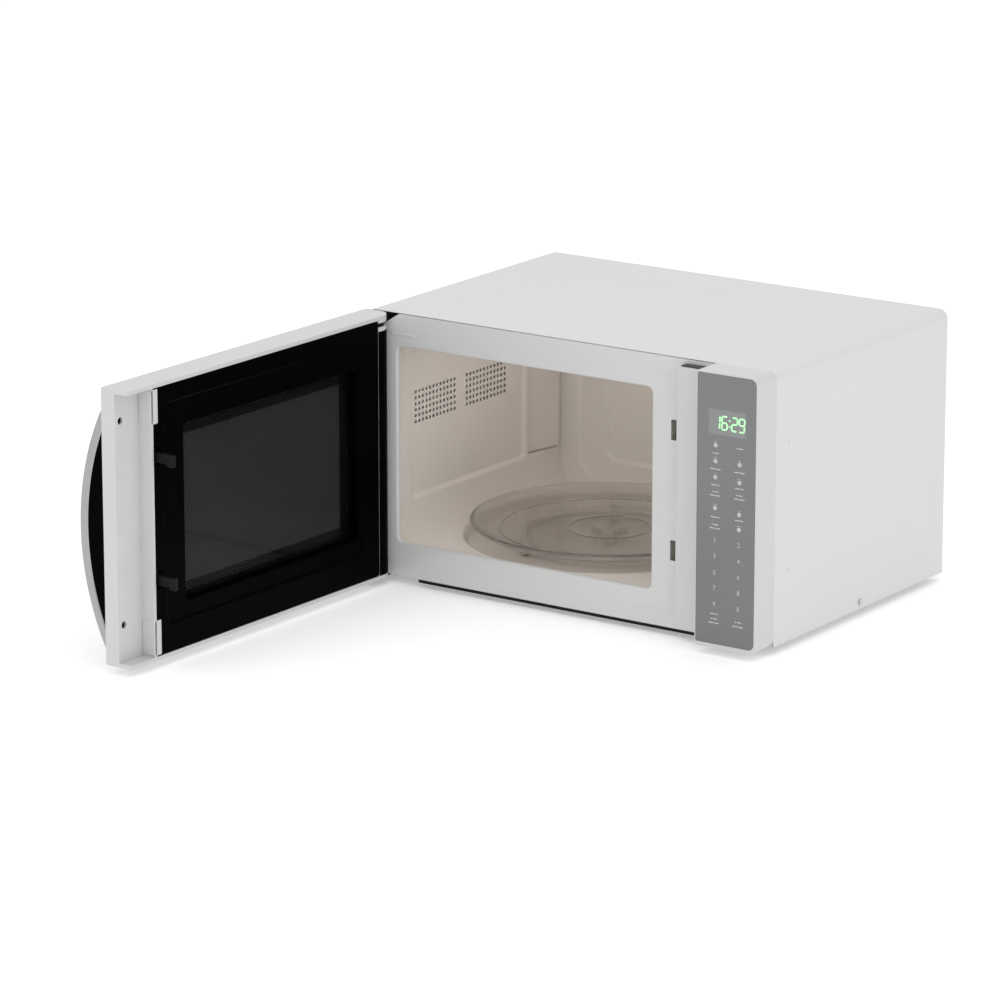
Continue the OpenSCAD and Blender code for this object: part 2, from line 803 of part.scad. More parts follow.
module hv_capacitor() {
    can_w = 52;
    can_t = 33;
    can_h = 88;
    end_r = can_t / 2;
    color(steel) in_case() {
        translate([transformer_x, capacitor_y, base_t]) linear_extrude(can_h) {
            rect([-can_w / 2 + end_r, -end_r], [can_w / 2 - end_r, end_r]);
            for (x = [-can_w / 2 + end_r, can_w / 2 - end_r])
                translate([x, 0]) circle(end_r);
        }
        for (s = [-1, 1])
            translate([transformer_x + s * 12, capacitor_y - 3, base_t + can_h]) cube([1, 6, 10]);
    }
}

module fan_shroud() {
    color([0.8, 0.8, 0.78]) in_case() difference() {
        union() {
            difference() {
                block([fan_x - shroud_half, shroud_y0, fan_z - shroud_half],
                      [fan_x + shroud_half, rear_y, fan_z + shroud_half]);
                rod_y(fan_x, fan_z, shroud_r, shroud_y0 + 2, rear_y + 1);
                rod_y(fan_x, fan_z, shroud_r - 6, shroud_y0 - 1, shroud_y0 + 3);
            }
            block([fan_x - shroud_r, shroud_y0, fan_z - 7], [fan_x + shroud_r, shroud_y0 + 2, fan_z + 7]);
            for (s = [-1, 1])
                rod_y(fan_x + s * 22, fan_z, 3, stator_y1, shroud_y0);
        }
        rod_y(fan_x, fan_z, fan_shaft_r + 1.5, shroud_y0 - 4, shroud_y0 + 4);
    }
}

module fan_motor() {
    bridge_t = 2;
    color([0.55, 0.55, 0.57]) in_case() difference() {
        union() {
            block([fan_x - 29, stator_y0, fan_z - 34], [fan_x + 29, stator_y1, fan_z + 19]);
            for (y = [stator_y0 - 6, stator_y1])
                block([fan_x - 17, y, fan_z - 5], [fan_x + 17, y + bridge_t, fan_z + 5]);
            for (s = [-1, 1])
                block([fan_x + s * 15 - 2, stator_y0 - 4, fan_z - 5],
                      [fan_x + s * 15 + 2, stator_y0, fan_z + 5]);
            block([fan_x - 14, stator_y0 - 8, fan_z - 34], [fan_x + 14, stator_y1 + 2, fan_z - 22]);
        }
        rod_y(fan_x, fan_z, rotor_r + 0.5, stator_y0 - 4, stator_y1);
        rod_y(fan_x, fan_z, fan_shaft_r + running, stator_y0 - 7, stator_y1 + 3);
        for (s = [-1, 1])
            block([fan_x + s * 20 - 3, stator_y0 - 1, fan_z - 22],
                  [fan_x + s * 20 + 3, stator_y1 + 1, fan_z - 12]);
    }
}

module fan_rotor() {
    color(steel) in_case() {
        rod_y(fan_x, fan_z, rotor_r, stator_y0 - 2, stator_y1 - 1);
        rod_y(fan_x, fan_z, fan_shaft_r, stator_y0 - 8, stator_y0 - 2);
        rod_y(fan_x, fan_z, fan_shaft_r, stator_y1 - 1, blade_y0 + blade_h - 2);
    }
}

module fan_blade() {
    hub_r = 10;
    blade_t = 1.6;
    color([0.2, 0.2, 0.22]) in_case() translate([fan_x, blade_y0, fan_z]) rotate([-90, 0, 0])
        difference() {
            union() {
                cylinder(r = hub_r, h = blade_h);
                for (i = [0:blade_count - 1])
                    rotate([0, 0, i * 360 / blade_count]) translate([hub_r - 1, 0, blade_h / 2])
                        rotate([32, 0, 0])
                            translate([0, -12, -blade_t / 2]) cube([fan_r - hub_r - 3, 24, blade_t]);
            }
            translate([0, 0, -1]) cylinder(r = fan_shaft_r, h = blade_h - 1);
        }
}

module duct_plan(inset) {
    bend_x = guide_x1 + 6;
    polygon([[duct_x0, duct_y0 + inset], [bend_x + 4, duct_y0 + inset],
             [duct_x1 - inset, duct_y1 - 38], [duct_x1 - inset, duct_y1],
             [bend_x + inset, duct_y1], [bend_x + inset, guide_y0 - 3 - inset],
             [duct_x0, guide_y0 - 3 - inset]]);
}

module air_duct() {
    z0 = mag_z - duct_h / 2;
    color([0.82, 0.82, 0.8]) in_case() difference() {
        translate([0, 0, z0]) linear_extrude(duct_h) duct_plan(0);
        translate([0, 0, z0 + duct_wall]) linear_extrude(duct_h - 2 * duct_wall) {
            duct_plan(duct_wall);
            rect([duct_x0 - 1, duct_y0 + duct_wall], [duct_x0 + 1, guide_y0 - 3 - duct_wall]);
            rect([guide_x1 + 6 + duct_wall, duct_y1 - 1], [duct_x1 - duct_wall, duct_y1 + 1]);
        }
    }
}

module line_filter_board() {
    y0 = rear_y - 22;
    x0 = guide_x0 + 14;
    z0 = 54;
    color([0.1, 0.35, 0.15]) in_case() {
        block([x0, y0, z0], [x0 + 84, y0 + 1.6, z0 + 30]);
        block([x0 + 8, y0 - 18, z0 + 5], [x0 + 30, y0, z0 + 25]);
        rod_y(x0 + 46, z0 + 15, 9, y0 - 12, y0);
        rod_x(y0 - 5, z0 + 24, 3, x0 + 58, x0 + 80);
        for (x = [x0 + 4, x0 + 80])
            block([x - 3, y0 + 1.6, z0 + 4], [x + 3, rear_y, z0 + 12]);
    }
}

module cutout_disc() {
    cylinder(r = 8, h = 5);
    translate([0, 0, 5]) cylinder(r = 6, h = 4);
    for (s = [-1, 1]) translate([s * 4 - 0.4, -2, 9]) cube([0.8, 4, 6]);
}

module thermal_cutouts() {
    color([0.2, 0.2, 0.2]) in_case() {
        translate([tray_x, cavity_y1 - 60, cavity_top + liner]) cutout_disc();
        translate([yoke_x0 + 26, mag_y, mag_z + yoke_half_h + yoke_t]) cutout_disc();
    }
}

module cavity_lamp() {
    bulb_r = 8;
    neck_r = 5;
    bulb_x = guide_x0 + 6;
    color([0.95, 0.93, 0.85]) in_case()
        translate([bulb_x, lamp_y, lamp_z - 14]) rotate([0, 90, 0]) rotate_extrude()
            polygon([[0, 0], [bulb_r * 0.5, 1], [bulb_r * 0.85, 3.5], [bulb_r, 7],
                     [bulb_r, 11], [neck_r, 15], [neck_r, 24], [0, 24]]);
}

module lamp_holder() {
    color([0.9, 0.9, 0.88]) in_case() {
        difference() {
            rod_x(lamp_y, lamp_z - 14, 8, guide_x0 + 24, guide_x0 + 42);
            rod_x(lamp_y, lamp_z - 14, 5, guide_x0 + 23, guide_x0 + 30);
        }
        block([guide_x0, lamp_y - 10, lamp_z - 25], [guide_x0 + 42, lamp_y + 10, lamp_z - 23.5]);
        block([guide_x0 + 34, lamp_y - 8, lamp_z - 23.5], [guide_x0 + 40, lamp_y + 8, lamp_z - 18]);
    }
}

module cord_inlet() {
    lip = 2.5;
    color(black) in_case() difference() {
        union() {
            rod_y(inlet_x, inlet_z, inlet_body_r, rear_y - 10, rear_y + case_sheet);
            rod_y(inlet_x, inlet_z, inlet_flange_r, rear_y + case_sheet, rear_y + case_sheet + lip);
            rod_y(inlet_x, inlet_z, inlet_flange_r - 1, rear_y - 4, rear_y);
        }
        rod_y(inlet_x, inlet_z, inlet_r, rear_y - 11, rear_y + case_sheet + lip + 1);
    }
}

// ---- Turntable -------------------------------------------------------------------------

module on_axis(z) {
    in_case() translate([tray_x, tray_y, z]) children();
}

module turntable_motor() {
    color(steel) on_axis(motor_z) difference() {
        union() {
            cylinder(r = motor_r, h = motor_h);
            for (s = [-1, 1])
                translate([s * (motor_r + 4) - 6, -5, motor_h - 2]) cube([12, 10, 2]);
            translate([-8, -motor_r - 8, 1]) cube([16, 12, 10]);
        }
        translate([0, 0, 5]) cylinder(r = motor_shaft_r + running, h = motor_h);
    }
}

module turntable_shaft() {
    color([0.85, 0.85, 0.85]) on_axis(motor_z + 5.5)
        cylinder(r = motor_shaft_r, h = tray_z - 4 - motor_z - 5.5);
}

module drive_coupler() {
    hub_r = 9;
    lobe_r = 4.5;
    lobe_out = 17;
    hub_z = dish_z + 1.5;
    color([0.8, 0.8, 0.78]) on_axis(hub_z) difference() {
        union() {
            cylinder(r = hub_r, h = tray_z - hub_z);
            for (i = [0:2])
                rotate([0, 0, 60 + 120 * i]) {
                    translate([0, -lobe_r, 3]) cube([lobe_out, 2 * lobe_r, tray_z - hub_z - 3]);
                    translate([lobe_out, 0, 3]) cylinder(r = lobe_r, h = tray_z - hub_z - 3);
                }
        }
        translate([0, 0, -1]) cylinder(r = motor_shaft_r, h = tray_z - 4 - hub_z + 1);
    }
}

module roller_ring() {
    color([0.82, 0.82, 0.8]) on_axis(roller_z) {
        difference() {
            translate([0, 0, -ring_t / 2]) cylinder(r = ring_in + ring_t, h = ring_t, $fn = 96);
            translate([0, 0, -ring_t]) cylinder(r = ring_in, h = 2 * ring_t, $fn = 96);
        }
        for (i = [0:2])
            rotate([0, 0, 120 * i]) {
                rod_x(0, 0, axle_r, ring_in + ring_t - 1, roller_track + roller_w / 2 + 1);
                rod_x(0, 0, axle_r + 1, roller_track + roller_w / 2 + 0.3, roller_track + roller_w / 2 + 1.6);
            }
    }
}

module roller(i) {
    color([0.9, 0.9, 0.88]) on_axis(roller_z) rotate([0, 0, 120 * i]) difference() {
        rod_x(0, 0, roller_r, roller_track - roller_w / 2, roller_track + roller_w / 2);
        rod_x(0, 0, axle_r + running, roller_track - roller_w, roller_track + roller_w);
    }
}

module roller_1() { roller(0); }
module roller_2() { roller(1); }
module roller_3() { roller(2); }

module glass_tray() {
    base_r = tray_r - 13;
    color([0.75, 0.85, 0.82, 0.4]) on_axis(tray_z) {
        rotate_extrude($fn = 128)
            polygon([[0, 0], [base_r, 0], [tray_r - 5, tray_h - 4], [tray_r, tray_h - 3],
                     [tray_r, tray_h], [tray_r - 6.5, tray_h - 0.6], [base_r - 1.5, glass_t],
                     [0, glass_t]]);
    }
}

// ---- Hinges ----------------------------------------------------------------------------

module hinge_upper() {
    leaf_t = 1.6;
    neck_x0 = hinge_x - tab_r;
    neck_x1 = cavity_x0 - liner - 0.4;
    color([0.5, 0.5, 0.52]) in_case() {
        translate([hinge_x, hinge_y, tab_z0]) cylinder(r = tab_r, h = tab_t);
        block([neck_x0, hinge_y, tab_z0], [neck_x1, case_sheet + leaf_t, tab_z0 + tab_t]);
        block([neck_x0, case_sheet, tab_z0 - 34], [neck_x1, case_sheet + leaf_t, tab_z0 + tab_t]);
        translate([hinge_x, hinge_y, tab_z0]) cylinder(r = pin_r, h = upper_bush_z1 - 0.6 - tab_z0);
    }
}

module hinge_lower() {
    color(black) in_case() {
        translate([hinge_x, hinge_y, lower_tab_z]) {
            cylinder(r = tab_r, h = tab_t);
            cylinder(r = pin_r, h = lower_bush_z1 - 0.6 - lower_tab_z);
        }
        block([hinge_x - tab_r, hinge_y, lower_tab_z], [hinge_x + tab_r, 24, lower_tab_z + tab_t]);
        block([hinge_x - tab_r, 6, lower_tab_z + tab_t], [hinge_x + tab_r, 24, 0]);
    }
}

// ---- Door ------------------------------------------------------------------------------

// Plan of the deep part of the door: round at the hinge, square at the lock
module deep_plan(inset) {
    edge_r = 3 - min(inset, 1.5);
    translate([hinge_x, hinge_y]) circle(hinge_r - inset);
    rect([hinge_x, face_y + inset], [deep_x1 - inset, back_y - inset]);
    rect([door_x0 + inset, face_y + inset + edge_r], [hinge_x, hinge_y]);
    rect([door_x0 + inset + edge_r, face_y + inset], [hinge_x, hinge_y]);
    translate([door_x0 + inset + edge_r, face_y + inset + edge_r]) circle(edge_r);
}

// Plan of the thinner strip over the panel ledge
module strip_plan(inset, rear) {
    edge_r = 3 - min(inset, 1.5);
    rect([deep_x1 - 5, face_y + inset], [door_x1 - inset - edge_r, rear - inset]);
    rect([deep_x1 - 5, face_y + inset + edge_r], [door_x1 - inset, rear - inset]);
    translate([door_x1 - inset - edge_r, face_y + inset + edge_r]) circle(edge_r);
}

module door_frame() {
    color(white) on_door() difference() {
        union() {
            difference() {
                translate([0, 0, door_z0]) linear_extrude(door_z1 - door_z0) {
                    deep_plan(0);
                    strip_plan(0, recess_y);
                }
                translate([0, 0, door_z0 + cap_t]) linear_extrude(door_z1 - door_z0 - 2 * cap_t) {
                    deep_plan(frame_wall);
                    rect([cover_x0 - 0.3, hinge_y], [deep_x1 - frame_wall, 1]);
                    rect([deep_x1, face_y + frame_wall],
                         [door_x1 - frame_wall, recess_y - frame_wall]);
                }
                block([glass_x0 - glass_gap, face_y - 1, glass_z0 - glass_gap],
                      [glass_x1 + glass_gap, seat_y, glass_z1 + glass_gap]);
            }
            for (z = [door_z0, door_z1 - cap_t])
                translate([0, 0, z]) linear_extrude(cap_t) strip_plan(0, back_y);
            front_sheet(seat_y, seat_y + seat_t) difference() {
                rect([door_x0 + 1, door_z0 + 1], [glass_x1 + 4, door_z1 - 1]);
                rect([glass_x0 + 8, glass_z0 + 8], [glass_x1 - 8, glass_z1 - 8]);
            }
            translate([hinge_x, hinge_y, notch_z1])
                cylinder(r = boss_r, h = door_z1 - notch_z1);
            translate([hinge_x, hinge_y, door_z0])
                cylinder(r = boss_r, h = lower_bush_z1 - door_z0);
        }
        block([-2, hinge_y - tab_r - 0.8, notch_z0],
              [hinge_x + tab_r + 0.8, 1, notch_z1]);
        translate([hinge_x, hinge_y, notch_z1 - 1])
            cylinder(r = bush_r, h = upper_bush_z1 - notch_z1 + 1);
        translate([hinge_x, hinge_y, door_z0 - 1])
            cylinder(r = bush_r, h = lower_bush_z1 - door_z0 + 1);
        for (z = handle_screw_z) {
            rod_y(screw_x, z, handle_screw_head_r + 0.4, face_y + frame_wall, 1);
            rod_y(screw_x, z, handle_screw_r + 0.2, face_y - 1, face_y + frame_wall + 1);
        }
    }
}

module door_glass() {
    color([0.5, 0.51, 0.52]) on_door()
        front_sheet(face_y, seat_y)
            round_rect([glass_x0, glass_z0], [glass_x1, glass_z1], 2);
}

module door_plate() {
    color([0.2, 0.2, 0.2]) on_door()
        front_sheet(plate_y1 - case_sheet, plate_y1)
            rect([plate_x0, cover_z0 + 3], [cover_x1 - 1, cover_z1 - 3]);
}

module cover_opening(grow) {
    round_rect([window_x0 - window_lip - grow, window_z0 - window_lip - grow],
               [window_x1 + window_lip + grow, window_z1 + window_lip + grow], 6 + grow);
}

module choke_cover() {
    color(black) on_door() difference() {
        front_sheet(cover_y0, cover_y1) difference() {
            round_rect([cover_x0, cover_z0], [cover_x1, cover_z1], 4);
            cover_opening(0);
        }
        front_sheet(cover_y0 - 1, cover_y1 - cover_wall) difference() {
            rect([cover_x0 + cover_wall, cover_z0 + cover_wall],
                 [cover_x1 - cover_wall, cover_z1 - cover_wall]);
            cover_opening(cover_wall);
        }
        for (z = latch_z)
            block([hook_x0 - 0.7, cover_y0, z - hook_h / 2 - 1],
                  [hook_x1 + 0.7, 1, z + hook_h / 2 + latch_travel + 1]);
    }
    color(black) on_door()
        block([hook_x0 - 0.5, bar_y0, spring_z + spring_h],
              [hook_x1 + 0.5, cover_y1 - cover_wall, spring_z + spring_h + 2]);
}

module inner_film() {
    color([0.15, 0.15, 0.16, 0.6]) on_door()
        front_sheet(plate_y1, plate_y1 + film_t)
            rect([window_x0 - window_lip + 0.5, window_z0 - window_lip + 0.5],
                 [window_x1 + window_lip - 0.5, window_z1 + window_lip - 0.5]);
}

module bush(z0, z1) {
    translate([hinge_x, hinge_y, z0]) difference() {
        cylinder(r = bush_r, h = z1 - z0);
        translate([0, 0, -1]) cylinder(r = pin_r + running, h = z1 - z0 + 2);
    }
}

module door_bushes() {
    color([0.9, 0.88, 0.8]) on_door() {
        bush(notch_z1, upper_bush_z1);
        bush(door_z0, lower_bush_z1);
    }
}

module latch_hooks() {
    nose = 2.5;
    color(black) on_door() {
        block([hook_x0, bar_y0, latch_z[0] - hook_h / 2], [hook_x1, bar_y1, latch_z[1] + hook_h / 2]);
        for (z = latch_z) {
            block([hook_x0, bar_y1 - eps, z - hook_h / 2 + nose], [hook_x1, hook_reach, z + hook_h / 2]);
            block([hook_x0, hook_reach - 7, z - hook_h / 2], [hook_x1, hook_reach, z]);
        }
    }
}

module latch_spring() {
    steps = 12 * spring_turns;
    sides = 6;
    pitch = (spring_h - 2 * spring_wire) / spring_turns;
    points = [for (i = [0:steps], k = [0:sides - 1])
        let (turn = 360 * i / 12, tilt = 360 * k / sides, r = spring_r - spring_wire * (1 - cos(tilt)))
            [r * cos(turn), r * sin(turn), spring_wire * (1 + sin(tilt)) + pitch * i / 12]];
    walls = [for (i = [0:steps - 1], k = [0:sides - 1])
        let (next = (k + 1) % sides)
            [i * sides + k, (i + 1) * sides + k, (i + 1) * sides + next, i * sides + next]];
    ends = [[for (k = [0:sides - 1]) k], [for (k = [sides - 1:-1:0]) steps * sides + k]];
    color(steel) on_door() translate([(hook_x0 + hook_x1) / 2, (bar_y0 + bar_y1) / 2, spring_z])
        polyhedron(points, concat(walls, ends));
}

// ---- Handle ----------------------------------------------------------------------------

function arc_r(chord, rise) = (chord * chord / 4 + rise * rise) / (2 * rise);

// Area between the door face and an arc of the given chord and rise, in Y and Z
module arc_area(chord, rise) {
    r = arc_r(chord, rise);
    intersection() {
        translate([face_y - rise + r, handle_z]) circle(r, $fn = 256);
        rect([face_y - rise - 1, handle_z - chord / 2 - 1], [face_y, handle_z + chord / 2 + 1]);
    }
}

module handle_screw_shanks(r) {
    for (z = handle_screw_z)
        rod_y(screw_x, z, r, face_y - handle_screw_reach, face_y + frame_wall);
}

module handle_bow() {
    color([0.8, 0.8, 0.82]) on_door() difference() {
        side_sheet(bow_x0, bow_x1) difference() {
            arc_area(handle_len, handle_out);
            arc_area(core_len, handle_out - bow_t);
        }
        handle_screw_shanks(handle_screw_r);
    }
}

module handle_core() {
    color(black) on_door() difference() {
        side_sheet(bow_x1 - core_w, bow_x1) arc_area(core_len - 1, handle_out - bow_t - 0.3);
        rod_y(screw_x, handle_screw_z[0], handle_screw_r + 0.3, face_y - 9, face_y + 1);
    }
}

module handle_screws() {
    head_t = 2.2;
    color(steel) on_door() {
        handle_screw_shanks(handle_screw_r);
        for (z = handle_screw_z)
            rod_y(screw_x, z, handle_screw_head_r, face_y + frame_wall, face_y + frame_wall + head_t);
    }
}

// ---- Show the chosen node --------------------------------------------------------------

outer_case();
front_plate();
cavity_left_wall();
cavity_right_wall();
cavity_ceiling();
cavity_floor();
cavity_back_wall();
base_plate();
rear_plate();
feet();
case_screws();
control_panel_housing();
mirror_fascia();
display_module();
control_board();
latch_body();
interlock_switches();
upper_plunger();
monitor_plunger();
lower_plunger();
waveguide();
waveguide_cover();
magnetron_yoke();
magnetron_anode();
magnetron_magnets();
magnetron_filter_box();
transformer_core();
transformer_windings();
hv_capacitor();
fan_shroud();
fan_motor();
fan_rotor();
fan_blade();
air_duct();
line_filter_board();
thermal_cutouts();
cavity_lamp();
lamp_holder();
cord_inlet();
turntable_motor();
turntable_shaft();
drive_coupler();
roller_ring();
roller_1();
roller_2();
roller_3();
glass_tray();
hinge_upper();
hinge_lower();
door_frame();
door_glass();
door_plate();
choke_cover();
inner_film();
door_bushes();
latch_hooks();
latch_spring();
handle_bow();
handle_core();
handle_screws();
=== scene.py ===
# %% [markdown]
# # A countertop microwave oven
#
# This oven has a white steel cabinet, a formed steel cavity, a glass tray on a roller ring, a mirror
# control panel and a side-hinged door that stands open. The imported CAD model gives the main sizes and
# every joint. Each step below makes one piece, one finish or a small group of them, so it can be read
# and changed by itself.
#
# The first step loads that fixed frame. Everything is placed from it, and nothing in it is moved.

import json
from math import degrees, pi, radians, sin

import bmesh
import bpy
from mathutils import Matrix, Vector

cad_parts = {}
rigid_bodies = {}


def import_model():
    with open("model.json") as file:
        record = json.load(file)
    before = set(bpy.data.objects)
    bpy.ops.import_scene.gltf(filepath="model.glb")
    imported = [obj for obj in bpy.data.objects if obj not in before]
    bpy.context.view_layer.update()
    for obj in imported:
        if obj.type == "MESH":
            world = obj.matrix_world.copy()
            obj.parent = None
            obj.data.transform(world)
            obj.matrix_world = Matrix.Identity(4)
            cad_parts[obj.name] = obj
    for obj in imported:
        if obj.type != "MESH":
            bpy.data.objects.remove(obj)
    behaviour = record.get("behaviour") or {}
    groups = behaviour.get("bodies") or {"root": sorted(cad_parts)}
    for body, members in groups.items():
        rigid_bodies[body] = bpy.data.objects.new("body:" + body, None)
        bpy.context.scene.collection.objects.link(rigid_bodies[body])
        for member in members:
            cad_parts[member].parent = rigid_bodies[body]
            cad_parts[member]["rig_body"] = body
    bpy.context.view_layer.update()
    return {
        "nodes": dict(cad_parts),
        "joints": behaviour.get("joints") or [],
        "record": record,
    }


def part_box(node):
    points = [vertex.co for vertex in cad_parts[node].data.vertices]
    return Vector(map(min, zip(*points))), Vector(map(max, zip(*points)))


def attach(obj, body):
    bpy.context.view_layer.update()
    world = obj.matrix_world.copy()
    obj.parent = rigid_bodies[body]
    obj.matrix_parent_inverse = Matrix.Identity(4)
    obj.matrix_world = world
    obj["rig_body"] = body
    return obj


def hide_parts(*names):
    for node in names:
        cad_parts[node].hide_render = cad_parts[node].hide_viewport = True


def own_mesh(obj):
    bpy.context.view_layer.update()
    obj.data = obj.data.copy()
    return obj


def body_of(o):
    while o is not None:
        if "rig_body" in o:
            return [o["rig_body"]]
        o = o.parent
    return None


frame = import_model()

# %% [markdown]
# ## Two sets of axes
#
# Real ovens are drawn in millimetres from the cabinet's lower left front corner, so the pieces here
# are too. One matrix takes them to the frame in metres. The door is easier to draw shut, as the CAD
# draws it, so a second matrix also swings it open about the hinge pins.

# %% Axes of the cabinet and of the shut door
MM = 0.001
CASE = Matrix.Translation(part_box("outer_case")[0]) @ Matrix.Scale(MM, 4)

hinge = next(j for j in frame["joints"] if j["name"] == "door_hinge")
OPEN_ANGLE = radians(hinge["range_deg"][1])
pin = Matrix.Translation(Vector(hinge["pos_m"]))
DOOR = pin @ Matrix.Rotation(-OPEN_ANGLE, 4, "Z") @ pin.inverted() @ CASE


def extent(node, place=CASE):
    """Lowest and highest corner of a CAD node in millimetres, in the cabinet's or the shut door's axes."""
    back = place.inverted()
    spots = [back @ v.co for v in frame["nodes"][node].data.vertices]
    return [Vector([pick(s[i] for s in spots) for i in range(3)]) for pick in (min, max)]


case_hi = extent("outer_case")[1]
print("cabinet", [round(c, 1) for c in case_hi], "mm, door open", hinge["range_deg"][1], "degrees")

# %% [markdown]
# ## Shader values as arithmetic
#
# A finish is a small calculation: take some noise, scale it, add it to a roughness. Node trees for
# that are long to write by hand. Here one class wraps a socket and gives it Python's operators, so
# the calculation reads as one line and the Math nodes appear by themselves.

# %% The Value and Finish classes
class Value:
    """One shader value. Arithmetic on it adds Math nodes to its finish."""

    def __init__(self, finish, socket):
        self.finish, self.socket = finish, socket

    def math(self, operation, *values):
        return self.finish.node("ShaderNodeMath", {"operation": operation}, dict(enumerate(values)))

    def __add__(self, other):
        return self.math("ADD", self, other)

    def __sub__(self, other):
        return self.math("SUBTRACT", self, other)

    def __rsub__(self, other):
        return self.math("SUBTRACT", other, self)

    def __mul__(self, other):
        return self.math("MULTIPLY", self, other)

    def __abs__(self):
        return self.math("ABSOLUTE", self)

    def __lt__(self, other):
        return self.math("LESS_THAN", self, other)

    def __gt__(self, other):
        return self.math("GREATER_THAN", self, other)

    def sine(self):
        return self.math("SINE", self)

    __radd__, __rmul__ = __add__, __mul__


class Finish:
    """A material under construction, with its Principled shader ready in self.shader."""

    def __init__(self, name, **constants):
        self.material = bpy.data.materials.new(name)
        self.material.use_nodes = True
        self.tree = self.material.node_tree
        self.shader = self.tree.nodes["Principled BSDF"]
        for socket, value in constants.items():
            self.set(socket.replace("_", " "), value)

    def node(self, kind, settings=None, inputs=None, out=0):
        """Adds a node: its settings first, then the values or links of its inputs."""
        made = self.tree.nodes.new(kind)
        for name, value in (settings or {}).items():
            setattr(made, name, value)
        for name, value in (inputs or {}).items():
            self.put(made.inputs[name], value)
        return Value(self, made.outputs[out])

    def put(self, socket, value):
        if isinstance(value, Value):
            self.tree.links.new(value.socket, socket)
        else:
            socket.default_value = value

    def set(self, socket, value):
        if isinstance(value, tuple) and len(value) == 3:
            value = (*value, 1.0)
        self.put(self.shader.inputs[socket], value)

    def place(self, turn=0.0):
        """Object coordinates in metres, turned about Z so that X runs along a swung piece."""
        spot = self.node("ShaderNodeTexCoord", out="Object")
        if turn:
            spot = self.node("ShaderNodeMapping", inputs={"Vector": spot, "Rotation": (0, 0, turn)})
        return spot

    def axes(self, vector):
        return [self.node("ShaderNodeSeparateXYZ", inputs={0: vector}, out=i) for i in range(3)]

    def noise(self, scale, detail=2.0, stretch=None):
        spot = self.place()
        if stretch:
            spot = self.node("ShaderNodeMapping", inputs={"Vector": spot, "Scale": stretch})
        return self.node(
            "ShaderNodeTexNoise", inputs={"Vector": spot, "Scale": scale, "Detail": detail}, out="Fac"
        )

    def blend(self, share, first, second):
        """A colour that goes from the first to the second as share goes from 0 to 1."""
        first, second = [(*c, 1.0) if isinstance(c, tuple) else c for c in (first, second)]
        return self.node(
            "ShaderNodeMix", {"data_type": "RGBA"}, {"Factor": share, 6: first, 7: second}, out=2
        )

    def bump(self, height, depth_mm):
        relief = self.node(
            "ShaderNodeBump", inputs={"Height": height, "Distance": depth_mm * MM, "Strength": 1.0}
        )
        self.set("Normal", relief)


def darker(colour, share):
    return tuple(c * share for c in colour)


# %% [markdown]
# ## Painted and moulded finishes
#
# Powder paint and moulded plastic look plain, but neither is one flat colour. Paint flows into a
# faint orange peel a millimetre or two across, and a mould leaves a finer grain. Both also vary a
# little in gloss over a hand's width. One function makes them all: broad noise moves the colour and
# the gloss, and fine noise drives the bump.

# %% One builder for coated and moulded surfaces
def coated(name, colour, rough, grain_mm, relief_mm, cloud=0.03, coat=0.0, **constants):
    finish = Finish(name, Coat_Roughness=0.12, Coat_Weight=coat, **constants)
    broad = finish.noise(7.0, 3.0)
    fine = finish.noise(1000.0 / grain_mm, 2.0)
    finish.set("Base Color", finish.blend(broad, darker(colour, 1 - cloud), darker(colour, 1 + cloud)))
    finish.set("Roughness", rough + (broad - 0.5) * 0.10 + (fine - 0.5) * 0.06)
    finish.bump(fine, relief_mm)
    return finish.material


finishes = {
    "case_paint": coated("case_paint", (0.655, 0.655, 0.655), 0.42, 1.6, 0.010, 0.012),
    "front_paint": coated("front_paint", (0.635, 0.635, 0.635), 0.36, 1.8, 0.008, 0.012),
    "white_plastic": coated("white_plastic", (0.59, 0.59, 0.59), 0.34, 0.7, 0.006, 0.010),
    "cavity_enamel": coated("cavity_enamel", (0.81, 0.765, 0.72), 0.24, 2.4, 0.012, 0.03, 0.25),
    "black_plastic": coated(
        "black_plastic", (0.001, 0.0009, 0.0009), 0.34, 0.9, 0.006, 0.15, Specular_IOR_Level=0.012
    ),
    "black_matte": coated(
        "black_matte", (0.006, 0.006, 0.006), 0.5, 0.8, 0.01, 0.15, Specular_IOR_Level=0.15
    ),
    "rubber": coated("rubber", (0.02, 0.02, 0.021), 0.75, 0.6, 0.02, 0.2),
    "nylon": coated("nylon", (0.60, 0.57, 0.50), 0.45, 0.8, 0.008, 0.03, 0.0, Subsurface_Weight=0.08),
    "red_plastic": coated("red_plastic", (0.45, 0.02, 0.015), 0.4, 0.9, 0.008, 0.06),
    "pcb": coated("pcb", (0.10, 0.075, 0.035), 0.45, 2.5, 0.01, 0.10, 0.3),
    "ferrite": coated("ferrite", (0.035, 0.034, 0.035), 0.7, 0.9, 0.02, 0.15),
    "mica": coated("mica", (0.50, 0.42, 0.30), 0.45, 3.0, 0.02, 0.10, 0.2),
}
print(len(finishes), "coated finishes")

# %% [markdown]
# ## Metals
#
# Rolled and plated metals show the direction they were worked in. Stretching the noise along one
# axis gives that grain, and the same noise moves the roughness, so the highlight breaks up along it.
# Zinc plate also has the large soft crystals of its bath, which a Voronoi texture stands for.

